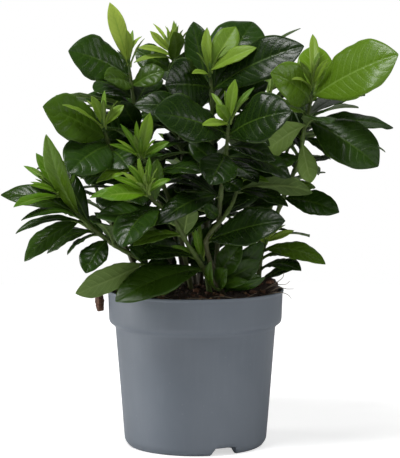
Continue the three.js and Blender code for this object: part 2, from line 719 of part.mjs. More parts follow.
function makeSoil(stems) {
  const chips = Array.from({ length: CHIPS.count }, (_, index) => makeChip(index));
  const ground = wasm.Manifold.union([makeSoilBody(), ...chips]);
  const holes = wasm.Manifold.union(stems.map((stem) => stem.hole));
  return ground.subtract(holes);
}

function makeBarkStrip() {
  const { route, width, thickness, steps } = BARK_STRIP;
  const path = new THREE.CatmullRomCurve3(route.map(vec));
  const top = [];
  const bottom = [];
  for (let i = 0; i <= steps; i++) {
    const share = i / steps;
    const along = path.getTangentAt(share);
    const side = along.clone().cross(new THREE.Vector3(-0.9, -0.4, 0.2)).normalize();
    const up = side.clone().cross(along);
    const half = valueAt(width, share) / 2;
    const centre = path.getPointAt(share);
    const row = [-1, 0, 1].map((v) => {
      return centre.clone().addScaledVector(side, v * half).addScaledVector(up, 0.5 * Math.abs(v));
    });
    top.push(row);
    bottom.push(row.map((point) => point.clone().addScaledVector(up, -valueAt(thickness, share))));
  }
  return slab(top, bottom);
}

// ---------------------------------------------------------------- wood

// The middle line of a stem: its route with one more point between each two, on a smooth curve
// through them and their neighbours, and straight down from the first into the soil.
function middleLine(route) {
  const points = route.map(vec);
  const near = (i) => points[Math.min(Math.max(i, 0), points.length - 1)];
  const line = [points[0].clone().setZ(WOOD.foot)];
  points.forEach((point, i) => {
    line.push(point);
    if (i === points.length - 1) return;
    const between = point.clone().add(near(i + 1)).multiplyScalar(9 / 16);
    line.push(between.addScaledVector(near(i - 1), -1 / 16).addScaledVector(near(i + 2), -1 / 16));
  });
  return line;
}

// The point of a stem's middle line at a height, with the share of its length and its direction there.
function pointAtHeight(centres, height) {
  const above = centres.findIndex((centre) => centre.z >= height);
  const [low, high] = [centres[above - 1], centres[above]];
  const part = (height - low.z) / (high.z - low.z);
  return {
    point: low.clone().lerp(high, part),
    share: (above - 1 + part) / (centres.length - 1),
    along: high.clone().sub(low).normalize(),
  };
}

// The wood of one stem, the hole for it in the soil, and where things sit on it.
function makeWood(row) {
  const centres = middleLine(row.route);
  const { baseRadius, tipRadius, sides } = WOOD;
  const radii = centres.map((_, i) => lerp(baseRadius, tipRadius, i / (centres.length - 1)));
  const lowered = [centres[0].clone().setZ(WOOD.foot - CLEARANCE), ...centres.slice(1)];
  const end = centres.at(-1);
  return {
    row,
    at: (height) => pointAtHeight(centres, height),
    end,
    endAlong: end.clone().sub(centres.at(-2)).normalize(),
    solid: tube(centres, radii, sides),
    hole: tube(lowered, radii.map((radius) => radius + CLEARANCE), sides),
  };
}

// ---------------------------------------------------------------- leaves

// Places across a leaf, from margin to margin: with the fold at the midrib, or flat.
const FOLDED = [-1, 0, 1];
const FLAT = [-1, 1];

// Half width of a leaf at a share of its length.
function halfWidth(u, width) {
  const blade = Math.max(0, (u - LEAF.stalk) / (1 - LEAF.stalk));
  const swell = Math.sin(Math.PI * blade ** LEAF.widest) ** LEAF.fullness;
  return (width / 2) * swell + LEAF.stalkHalf * (1 - u);
}

// Unit directions of a leaf: along it, up from its upper face, and to its side.
function leafAxes(leaf) {
  const along = leaf.tip.clone().sub(leaf.base).normalize();
  const up = leaf.faces.clone().addScaledVector(along, -leaf.faces.dot(along)).normalize();
  return { along, up, side: along.clone().cross(up) };
}

// Rows of points of a leaf's upper face, with the way up at each row.
function leafRows(leaf, shares, columns, extra) {
  const reach = leaf.tip.clone().sub(leaf.base);
  const length = reach.length();
  const { up, side } = leafAxes(leaf);
  return shares.map((u) => {
    const centre = leaf.base.clone().addScaledVector(reach, u);
    centre.addScaledVector(up, 4 * leaf.arch * length * u * (1 - u));
    const run = reach.clone().addScaledVector(up, 4 * leaf.arch * length * (1 - 2 * u)).normalize();
    const normal = side.clone().cross(run);
    const half = halfWidth(u, leaf.width);
    const row = columns.map((v) => {
      const wave = Math.sin(2 * Math.PI * LEAF.waves * u + leaf.phase + 1.3 * v) * v * v;
      const lift = half * (LEAF.fold * Math.abs(v) - LEAF.droop * v * v + LEAF.ripple * wave);
      return centre.clone().addScaledVector(side, v * (half + extra)).addScaledVector(normal, lift);
    });
    return { row, normal };
  });
}

function leafSolid(leaf, shares, columns, extra = 0) {
  const rows = leafRows(leaf, shares, columns, extra);
  const { along } = leafAxes(leaf);
  const moved = (row, normal, amount) => row.map((point) => point.clone().addScaledVector(normal, amount));
  const shift = (amounts) => rows.map(({ row, normal }, i) => moved(row, normal, amounts[i]));
  const depths = shares.map((u) => -extra - (u <= LEAF.stalk ? LEAF.stalkThickness : LEAF.thickness));
  const top = shift(shares.map(() => extra));
  const starts = shares[0] <= LEAF.stalk;
  const root = starts ? leaf.base.clone().addScaledVector(along, -LEAF.sunk) : null;
  return slab(top, shift(depths), root, leaf.tip.clone().addScaledVector(along, extra));
}

// A leaf turned about its root: lift towards its upper face, swing to its side.
function turned(leaf, [lift, swing, share]) {
  const { up, side } = leafAxes(leaf);
  const turn = new THREE.Quaternion().setFromAxisAngle(side, radians(lift));
  turn.premultiply(new THREE.Quaternion().setFromAxisAngle(up, radians(swing)));
  const reach = leaf.tip.clone().sub(leaf.base).applyQuaternion(turn).multiplyScalar(share);
  return {
    ...leaf,
    tip: leaf.base.clone().add(reach),
    faces: up.clone().applyQuaternion(turn),
    width: leaf.width * share,
  };
}

function boxesMeet(a, b) {
  return [0, 1, 2].every((i) => a.min[i] < b.max[i] && b.min[i] < a.max[i]);
}

const grown = []; // everything that a new leaf keeps clear of

function remember(solid, owner) {
  grown.push({ solid, owner, box: solid.boundingBox() });
}

// Whether a solid is clear of those grown things that the test picks.
function isClear(solid, picks) {
  const box = solid.boundingBox();
  return grown.every((thing) => {
    if (!picks(thing) || !boxesMeet(box, thing.box)) return true;
    return solid.intersect(thing.solid).isEmpty();
  });
}

// Grows a leaf in the first clear pose. Returns its solid, or nothing where no pose is clear.
function grow(leaf, owner, poses) {
  for (const pose of poses) {
    const candidate = turned(leaf, pose);
    const long = candidate.base.distanceTo(candidate.tip) > LEAF.long;
    const solid = leafSolid(candidate, long ? LEAF.longRows : LEAF.rows, leaf.columns);
    const roomy = leafSolid(candidate, LEAF.testRows, FOLDED, ROOM);
    const outer = leafSolid(candidate, LEAF.testRows.slice(1), FOLDED, ROOM);
    if (![solid, roomy].every((one) => isClear(one, (thing) => thing.owner !== owner))) continue;
    if (!isClear(outer, (thing) => thing.owner === owner)) continue;
    remember(solid, owner);
    return solid;
  }
  return null;
}

// The phase of a leaf's waves comes from where its tip points, so that no two are alike.
function wavePhase(tip) {
  return 0.37 * tip.x + 0.23 * tip.y + 0.31 * tip.z;
}

function handLeaf(base, [, tip, width, faces, arch], young) {
  const end = vec(tip);
  return {
    base,
    tip: end,
    width,
    faces: vec(faces),
    arch,
    phase: wavePhase(end),
    columns: young && width < YOUNG.flatWidth ? FLAT : FOLDED,
  };
}

// The leaves that a stem carries by rule: pairs, each turned a quarter from the pair below.
function fillLeaves(wood) {
  const [low, high, count, reach, firstTurn] = wood.row.fill;
  const leaves = [];
  for (let i = 0; i < count; i++) {
    const share = (i + 0.5) / count;
    const { point } = wood.at(lerp(low, high, share));
    const jitter = lerp(-FILL_LEAF.spin, FILL_LEAF.spin, draw(i, firstTurn));
    const turn = radians(firstTurn + 90 * Math.floor(i / 2) + 180 * (i % 2) + jitter);
    const rise = radians(lerp(...FILL_LEAF.rise, share * draw(i, firstTurn + 1)));
    const length = reach * lerp(0.85, 1.12, draw(i, firstTurn + 2));
    const out = new THREE.Vector3(Math.cos(turn), Math.sin(turn), 0);
    const tip = point.clone().addScaledVector(out, length * Math.cos(rise));
    tip.z += length * Math.sin(rise);
    leaves.push({
      base: point,
      tip,
      width: length * FILL_LEAF.slimness,
      faces: out.clone().multiplyScalar(0.3).add(new THREE.Vector3(0, 0, 1)),
      arch: 0.09,
      phase: wavePhase(tip),
      columns: FOLDED,
    });
  }
  return leaves;
}

// ---------------------------------------------------------------- shoots

function makeShootStem(start, along, length) {
  const centres = [0, 0.5, 1].map((share) => start.clone().addScaledVector(along, length * share));
  const { stemRadius } = YOUNG;
  return tube(centres, [stemRadius, stemRadius, stemRadius * 0.7], YOUNG.stemSides);
}

// Where each shoot starts, which way it runs, and its leaf rows.
function shootPlans(woods) {
  const plans = woods.map((wood) => ({
    name: wood.row.name,
    start: wood.end.clone().addScaledVector(wood.endAlong, CLEARANCE),
    along: wood.endAlong,
    length: wood.row.shoot.length,
    leaves: wood.row.shoot.leaves,
  }));
  for (const side of SIDE_SHOOTS) {
    const wood = woods.find((one) => one.row.name === side.stem);
    const { point, share, along: grain } = wood.at(side.height);
    const along = vec(side.out).normalize();
    const lean = along.dot(grain);
    const away = along.clone().addScaledVector(grain, -lean).normalize();
    const gap = lerp(WOOD.baseRadius, WOOD.tipRadius, share) + CLEARANCE + YOUNG.stemRadius * Math.abs(lean);
    plans.push({ ...side, start: point.clone().addScaledVector(away, gap), along });
  }
  return plans;
}

// ---------------------------------------------------------------- the whole plant

const material = (color, roughness) => new THREE.MeshStandardMaterial({ color, roughness, metalness: 0 });
const MATERIALS = {
  pot: material(0x6b727c, 0.62),
  soil: material(0x3a2c20, 0.95),
  bark: material(0x6a4a30, 0.9),
  grown: material(0x2c5a30, 0.35),
  young: material(0x9ab53c, 0.4),
};

const woods = STEMS.map(makeWood);
const plans = shootPlans(woods);
const pot = makePot();
const soil = makeSoil(woods);
const barkStrip = makeBarkStrip();
const shootOwner = (plan) => "shoot_" + plan.name;

remember(pot, "pot");
remember(soil, "soil");
remember(barkStrip, "bark_strip");
for (const wood of woods) {
  wood.pieces = [wood.solid];
  remember(wood.solid, wood.row.name);
}
for (const plan of plans) {
  plan.pieces = [makeShootStem(plan.start, plan.along, plan.length)];
  remember(plan.pieces[0], shootOwner(plan));
}

// Grows a list of leaves on one stem or shoot and keeps those that found a clear pose.
function growAll(pieces, leaves, owner, poses) {
  pieces.push(...leaves.map((leaf) => grow(leaf, owner, poses)).filter((solid) => solid !== null));
}

for (const wood of woods) {
  const leaves = wood.row.leaves.map((row) => handLeaf(wood.at(row[0]).point, row, false));
  growAll(wood.pieces, leaves, wood.row.name, POSES.slice(0, HAND_POSES));
}
for (const plan of plans) {
  const leaves = plan.leaves.map((row) => {
    const base = plan.start.clone().addScaledVector(plan.along, plan.length * row[0]);
    return handLeaf(base, row, true);
  });
  growAll(plan.pieces, leaves, shootOwner(plan), POSES);
}
for (const wood of woods) {
  growAll(wood.pieces, fillLeaves(wood), wood.row.name, POSES);
}

const object = new THREE.Group();
object.add(toMesh(pot, "pot", MATERIALS.pot));
object.add(toMesh(soil, "soil", MATERIALS.soil));
object.add(toMesh(barkStrip, "bark_strip", MATERIALS.bark));
for (const wood of woods) {
  object.add(toMesh(wasm.Manifold.union(wood.pieces), "stem_" + wood.row.name, MATERIALS.grown));
}
for (const plan of plans) {
  object.add(toMesh(wasm.Manifold.union(plan.pieces), shootOwner(plan), MATERIALS.young));
}

export default object;
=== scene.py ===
"""A gardenia in its nursery pot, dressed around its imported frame.

The tables and the sums are in millimetres, +Z up, with the middle of the pot's foot at the origin and the
front of the plant towards -Y. A mesh gets its metres when it is made.

The plant is made of leafy stems and young shoots. Each leaf is one row of a table, or comes from a rule,
and took the first clear pose of a short list when the frame was built. The fine leaf repeats the formulas
of the plain one, finds the pose that the frame holds, and adds the pointed tip, the soft valley of the
midrib, the quilting between the side veins, the rib under the blade and the small life of the margin.
"""

import logging
import math
from collections.abc import Sequence
from dataclasses import dataclass, field
from enum import Enum

import bpy
import numpy as np
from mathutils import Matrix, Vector
from mathutils.kdtree import KDTree


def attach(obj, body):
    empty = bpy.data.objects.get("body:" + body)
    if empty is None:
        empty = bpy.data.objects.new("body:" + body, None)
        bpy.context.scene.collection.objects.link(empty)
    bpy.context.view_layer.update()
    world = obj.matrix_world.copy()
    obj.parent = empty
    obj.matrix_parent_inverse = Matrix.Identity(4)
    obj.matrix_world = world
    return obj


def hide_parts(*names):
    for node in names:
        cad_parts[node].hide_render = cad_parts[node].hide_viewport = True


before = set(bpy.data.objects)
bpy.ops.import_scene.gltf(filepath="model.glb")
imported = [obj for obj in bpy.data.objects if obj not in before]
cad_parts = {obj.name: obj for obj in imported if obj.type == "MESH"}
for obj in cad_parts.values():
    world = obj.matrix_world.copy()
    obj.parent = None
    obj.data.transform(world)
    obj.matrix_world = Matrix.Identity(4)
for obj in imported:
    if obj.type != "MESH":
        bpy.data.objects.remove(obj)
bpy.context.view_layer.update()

log = logging.getLogger("gardenia")

Array = np.ndarray
Vec3 = tuple[float, float, float]
Colour = tuple[float, float, float]
Socket = bpy.types.NodeSocket
Node = bpy.types.Node
Tree = bpy.types.NodeTree
Material = bpy.types.Material
Piece = bpy.types.Object

MM = 0.001  # metres in a millimetre
GOLDEN_TURN = 137.5  # degrees from one leaf or chip to the next
UP = np.array([0.0, 0.0, 1.0])


# ---- the plant's tables


@dataclass(frozen=True)
class Row:
    """One leaf of a table.

    at is the height of its node on a stem, or its share of a shoot's length. tone is how light the blade
    is, from 0 for the darkest grown leaf to 1 for a fresh one. A tone below 0 is painted shade: the blade is
    darkened towards a near-black green where the leaf lies in shade. Some tones above 0 are partly painted
    light.
    """

    at: float
    tip: Vec3
    width: float
    faces: Vec3
    arch: float = 0.1
    tone: float = 0.0


@dataclass(frozen=True)
class Fill:
    """Leaves by rule: lowest and highest node, how many, their reach and the turn of the first pair."""

    low: float
    high: float
    count: int
    reach: float
    first_turn: float


@dataclass(frozen=True)
class StemPlan:
    """A leafy stem: its leaves by rule, its shoot's length and its route from the soil to the cut end."""

    fill: Fill
    shoot_length: float
    route: list[Vec3]


@dataclass(frozen=True)
class SideShootPlan:
    """A young shoot at a bud on the side of a stem: the height of the bud and the way out of it."""

    stem: str
    height: float
    out: Vec3
    length: float


# Every stem: its leaves by rule, the length of its young shoot, and its route.
STEMS = {
    "left_low": StemPlan(Fill(150, 172, 3, 40, 10), 6, [
        (-20, -12, 110), (-36, -30, 137), (-52, -42, 148), (-69, -51, 161), (-82, -57, 174),
        (-92, -62, 186),
    ]),
    "left_tall": StemPlan(Fill(162, 238, 6, 56, 20), 7, [
        (-6, 12, 110), (-14, 6, 150), (-28, -5, 188), (-39, -12, 225), (-44, -17, 250), (-47, -20, 274),
    ]),
    "left": StemPlan(Fill(158, 202, 4, 54, 65), 6, [
        (-10, 3, 110), (-26, -10, 152), (-47, -35, 193), (-59, -50, 219), (-63, -56, 232),
    ]),
    "middle": StemPlan(Fill(160, 238, 7, 56, 75), 8, [
        (3, 8, 110), (7, -3, 152), (11, -15, 189), (12, -26, 226), (12, -34, 252), (11, -39, 269),
    ]),
    "front": StemPlan(Fill(152, 192, 3, 50, 40), 6, [
        (15, -18, 110), (16, -35, 155), (18, -50, 188), (21, -68, 214), (22, -76, 225), (23, -80, 236),
    ]),
    "right": StemPlan(Fill(198, 242, 4, 54, 30), 7, [
        (46, 2, 110), (48, 0, 139), (55, -6, 159), (63, -14, 181), (69, -20, 197), (75, -28, 214),
        (77, -36, 230), (80, -42, 245), (82, -46, 258),
    ]),
    "front_left": StemPlan(Fill(152, 174, 2, 40, 60), 5, [
        (11, -24, 110), (8, -28, 128), (4, -36, 137), (-4, -46, 150), (-12, -57, 166), (-19, -68, 177),
        (-27, -78, 184), (-31, -84, 189),
    ]),
    "inner_twig": StemPlan(Fill(152, 188, 3, 44, 100), 5, [
        (-2, -10, 110), (-10, -22, 152), (-20, -42, 188), (-30, -62, 207), (-35, -69, 213),
    ]),
    "back_tall": StemPlan(Fill(178, 254, 7, 58, 15), 7, [
        (0, 19, 110), (-5, 18, 164), (-10, 13, 216), (-14, 11, 253), (-16, 10, 281),
    ]),
    "centre_low": StemPlan(Fill(162, 188, 1, 36, 50), 5, [
        (22, -32, 110), (12, -42, 136), (8, -52, 156), (18, -46, 169), (26, -40, 180), (31, -36, 194),
    ]),
    "back_left": StemPlan(Fill(142, 228, 8, 60, 35), 7, [
        (-16, 24, 110), (-30, 38, 152), (-46, 50, 192), (-54, 56, 226), (-56, 60, 242),
    ]),
    "back_right": StemPlan(Fill(142, 236, 9, 60, 5), 7, [
        (20, 26, 110), (32, 40, 152), (46, 54, 194), (54, 60, 232), (56, 64, 252),
    ]),
    "back_low": StemPlan(Fill(128, 192, 8, 54, 70), 6, [
        (2, 38, 110), (3, 58, 148), (-2, 76, 180), (-6, 84, 202),
    ]),
    "side_left": StemPlan(Fill(130, 184, 6, 50, 20), 5, [
        (-34, 10, 110), (-52, 16, 144), (-68, 22, 172), (-76, 26, 194),
    ]),
    "side_right": StemPlan(Fill(140, 224, 7, 50, 45), 5, [
        (38, 22, 110), (50, 30, 152), (64, 36, 197), (74, 40, 234),
    ]),
}

# Shoots at side buds: the stem, the bud's height, the way out of it and the shoot's length.
SIDE_SHOOTS = {
    "right_side": SideShootPlan("right", 148, (0.2, -0.7, 0.7), 5),
    "front_left_side": SideShootPlan("front_left", 135, (-0.3, -0.5, 0.8), 5),
}

# Grown leaves: the height of its node, tip, full width, where the upper face looks, arch and tone. A tone
# below 0 is painted shade.
LEAVES = {
    "left_low": [
        Row(173, (-101, -76, 235), 15, (-0.4, -0.9, 0.2), 0.08, 0.55),
        Row(172, (-136, -60, 193), 19, (0, -0.7, 0.7), 0.14, 0.15),
        Row(166, (-124, -82, 170), 10, (-0.1, -0.4, 0.9), 0.15, 0.1),
        Row(171, (-120, -70, 143), 19, (-0.35, -0.7, 0.6), 0.1, 0.16),
        Row(163, (-106, -46, 146), 13, (-0.4, -0.5, 0.7), 0.12, 0.15),
        Row(156, (-77, -66, 134), 20, (-0.3, -0.85, 0.45), 0.14),
        Row(138, (-85, -62, 120), 22, (0, 0.9, 0.4), -0.06, 0.45),
        Row(168, (-94, -22, 192), 16, (-0.2, -0.5, 0.8), 0.1, 0.1),
        Row(152, (-70, -90, 172), 14, (0, -0.5, 0.9)),
    ],
    "left_tall": [
        Row(270, (-89, -45, 290), 35, (0.05, -0.85, 0.55), 0.06, 0.1),
        Row(265, (-63, -60, 270), 19, (0.2, -0.85, 0.5), 0.08, 0.3),
        Row(264, (-22, -22, 275), 18, (-0.1, -0.85, 0.5), 0.08, 0.3),
        Row(255, (-74, 10, 268), 22, (-0.1, -0.8, 0.6), 0.08, -0.2),
        Row(248, (-100, -28, 258), 20, (0, 0.1, 1), 0.05, 0.6),
        Row(242, (-2, 2, 245), 26, (0.1, -0.8, 0.5), 0.08, -0.5),
        Row(230, (-86, 10, 228), 28, (-0.1, -0.75, 0.65), 0.1, -0.5),
    ],
    "left": [
        Row(228, (-104, -82, 252), 36, (0.1, -0.85, 0.55), 0.06, 0.3),
        Row(223, (-84, -97, 211), 34, (0.25, -0.7, 0.7)),
        Row(219, (-46, -78, 209), 27, (-0.2, -0.6, 0.75)),
        Row(208, (-98, -14, 210), 24, (-0.1, -0.3, 0.9), 0.08),
        Row(198, (-80, -30, 198), 22, (0, -0.5, 0.85)),
        Row(192, (-36, -78, 184), 22, (0, -0.6, 0.8), 0.08),
    ],
    "middle": [
        Row(263, (-20, -84, 266), 38, (0.6, -0.75, 0.3), 0.06, -1),
        Row(261, (76, -58, 293), 33, (0.1, -0.85, 0.6), 0.08, -0.9),
        Row(258, (42, -6, 311), 42, (-0.1, -1, 0.3), 0.1, -0.1),
        Row(253, (0, -24, 310), 21, (-0.3, -1, 0.15), 0.04, -0.3),
        Row(250, (77, 16, 307), 15, (0.25, 0.25, 0.95), 0.06, 0.3),
        Row(242, (-44, -40, 252), 24, (0, -0.75, 0.65), 0.08, -0.6),
        Row(228, (52, -66, 224), 20, (0.1, -0.6, 0.8), 0.1, -1),
        Row(208, (44, -64, 198), 22, (0.1, -0.5, 0.85), 0.1, -1),
        Row(203, (-27, -60, 193), 22, (-0.1, -0.4, 0.9), 0.08, -0.4),
        Row(214, (-10, -64, 209), 12, (0, -0.8, 0.6)),
    ],
    "front": [
        Row(232, (-27, -112, 248), 38, (-0.1, -0.8, 0.6), 0.06, -0.9),
        Row(231, (65, -108, 249), 38, (0.1, -0.85, 0.5), 0.08, -1),
        Row(223, (56, -78, 214), 18, (0.3, -0.7, 0.7), 0.12, -1),
        Row(216, (68, -66, 202), 24, (0.1, -0.55, 0.85), 0.1, -0.9),
        Row(218, (10, -104, 199), 26, (0, -1, 0.25), 0.1, -0.7),
        Row(199, (32, -66, 194), 16, (0, -0.6, 0.8), 0.1, -1),
        Row(188, (-30, -82, 174), 20, (0, -0.6, 0.8), 0.1, -0.8),
        Row(172, (8, -64, 184), 9, (0, -1, 0.3), 0.06),
    ],
    "right": [
        Row(256, (140, -77, 287), 43, (-0.15, -0.85, 0.55), 0.08, 0.6),
        Row(253, (47, -76, 279), 30, (0.1, -0.9, 0.45), 0.1, 0.55),
        Row(244, (54, -90, 258), 18, (0.2, -0.6, 0.8), 0.06, 0.45),
        Row(250, (87, -18, 294), 26, (0.1, -0.9, 0.4), 0.06, 1),
        Row(243, (124, 16, 259), 24, (0, -0.15, 1), 0.06, 0.1),
        Row(237, (146, 8, 234), 22, (0, -0.6, 0.8), 0.06),
        Row(241, (128, -66, 209), 35, (0.3, -0.95, 0.35), 0.08, 0.1),
        Row(232, (140, 4, 216), 15, (0.1, -0.3, 0.95), 0.08),
        Row(238, (50, -58, 219), 24, (-0.4, 0.75, 0.4), 0.08, 0.75),
        Row(228, (104, -44, 211), 13, (0.1, -0.5, 0.85)),
        Row(224, (82, -48, 196), 14, (0.1, 1, 0.25), 0.05, 0.7),
        Row(214, (49, -48, 210), 22, (0, -0.4, 0.9), 0.08),
        Row(183, (103, -38, 175), 20, (0.1, -0.8, 0.55), 0.1, -0.4),
        Row(187, (88, -8, 191), 12, (0, -0.6, 0.8), 0.14, 0.5),
        Row(178, (40, 2, 177), 20, (0, -0.55, 0.8), 0.08),
        Row(144, (94, -31, 137), 17, (0.1, -0.7, 0.7), 0.14, 0.45),
        Row(130, (76, -35, 133), 15, (0.1, -0.6, 0.8), 0.1, -0.5),
        Row(138, (79, -20, 141), 9, (0.1, -0.5, 0.9), 0.1, 0.5),
    ],
    "front_left": [
        Row(182, (-50, -110, 157), 30, (-0.5, -0.75, 0.4), 0.12, -0.5),
        Row(185, (-26, -80, 215), 10, (0.2, -1, 0.2), 0.04, 0.3),
        Row(177, (-68, -86, 176), 20, (0, -0.7, 0.7), 0.03, 0.08),
        Row(158, (-4, -60, 183), 15, (0, 1, 0.2), 0.08, 0.4),
        Row(160, (-44, -66, 154), 12, (-0.1, -0.6, 0.8), 0.1, 0.4),
        Row(133, (-56, -71, 115), 30, (-0.3, -0.75, 0.65), 0.1, 0.18),
        Row(143, (-40, -62, 144), 14, (0, -0.5, 0.9), 0.1, -1),
    ],
    "inner_twig": [
        Row(207, (-68, -82, 209), 13, (0, -0.35, 0.95), 0.1, 0.8),
        Row(204, (4, -84, 206), 16, (0.2, -0.6, 0.8), 0.08),
        Row(194, (-62, -60, 198), 16, (0, -0.4, 0.9), 0.08),
        Row(182, (18, -58, 182), 18, (0, -0.5, 0.9), 0.08),
    ],
    "back_tall": [
        Row(275, (-44, 12, 291), 21, (0, -0.85, 0.5), 0.05, 0.2),
        Row(266, (24, 22, 286), 24, (0.1, 0.4, 0.9)),
        Row(260, (-30, 62, 278), 26, (-0.1, 0.7, 0.7), 0.08),
        Row(252, (14, 66, 264), 28, (0.1, 0.7, 0.7), 0.08),
    ],
    "centre_low": [
        Row(155, (62, -80, 173), 30, (-0.1, -0.8, 0.65), 0.06, -1),
        Row(190, (66, -50, 180), 16, (0.1, -0.5, 0.9), 0.1, -0.8),
        Row(191, (84, -52, 190), 14, (0.1, 0.8, 0.3), 0.14, 0.25),
        Row(128, (33, -56, 154), 18, (-0.2, -0.9, 0.3), 0.12, 0.15),
        Row(124, (43, -50, 142), 16, (0.5, -0.8, 0.2), 0.14, 0.15),
        Row(122, (22, -62, 136), 14, (-0.4, -0.9, 0.2), 0.14, 0.2),
    ],
    "back_left": [
        Row(238, (-92, 84, 252), 28, (-0.3, 0.5, 0.8)),
        Row(236, (-30, 104, 256), 30, (0.1, 0.7, 0.7), 0.08),
        Row(230, (-96, 42, 242), 26, (-0.4, -0.1, 0.9)),
    ],
    "back_right": [
        Row(248, (96, 82, 268), 30, (0.3, 0.5, 0.8)),
        Row(245, (26, 106, 264), 30, (-0.1, 0.7, 0.7), 0.08),
        Row(240, (100, 40, 252), 26, (0.3, 0, 0.9)),
        Row(236, (20, 40, 254), 26, (-0.2, 0.1, 0.95), 0.08),
    ],
    "back_low": [
        Row(198, (-40, 116, 208), 28, (-0.2, 0.7, 0.7)),
        Row(196, (36, 118, 206), 28, (0.2, 0.7, 0.7)),
        Row(188, (-4, 136, 178), 28, (0, 0.8, 0.6), 0.12),
    ],
    "side_left": [
        Row(190, (-120, 44, 202), 26, (-0.5, 0.2, 0.8)),
        Row(182, (-112, 8, 180), 24, (-0.5, -0.1, 0.8), 0.12),
    ],
    "side_right": [
        Row(230, (124, 56, 248), 30, (0.4, 0.2, 0.85)),
        Row(224, (80, 96, 238), 28, (0.3, 0.7, 0.7)),
        Row(218, (112, 14, 228), 26, (0.4, -0.1, 0.9)),
    ],
}

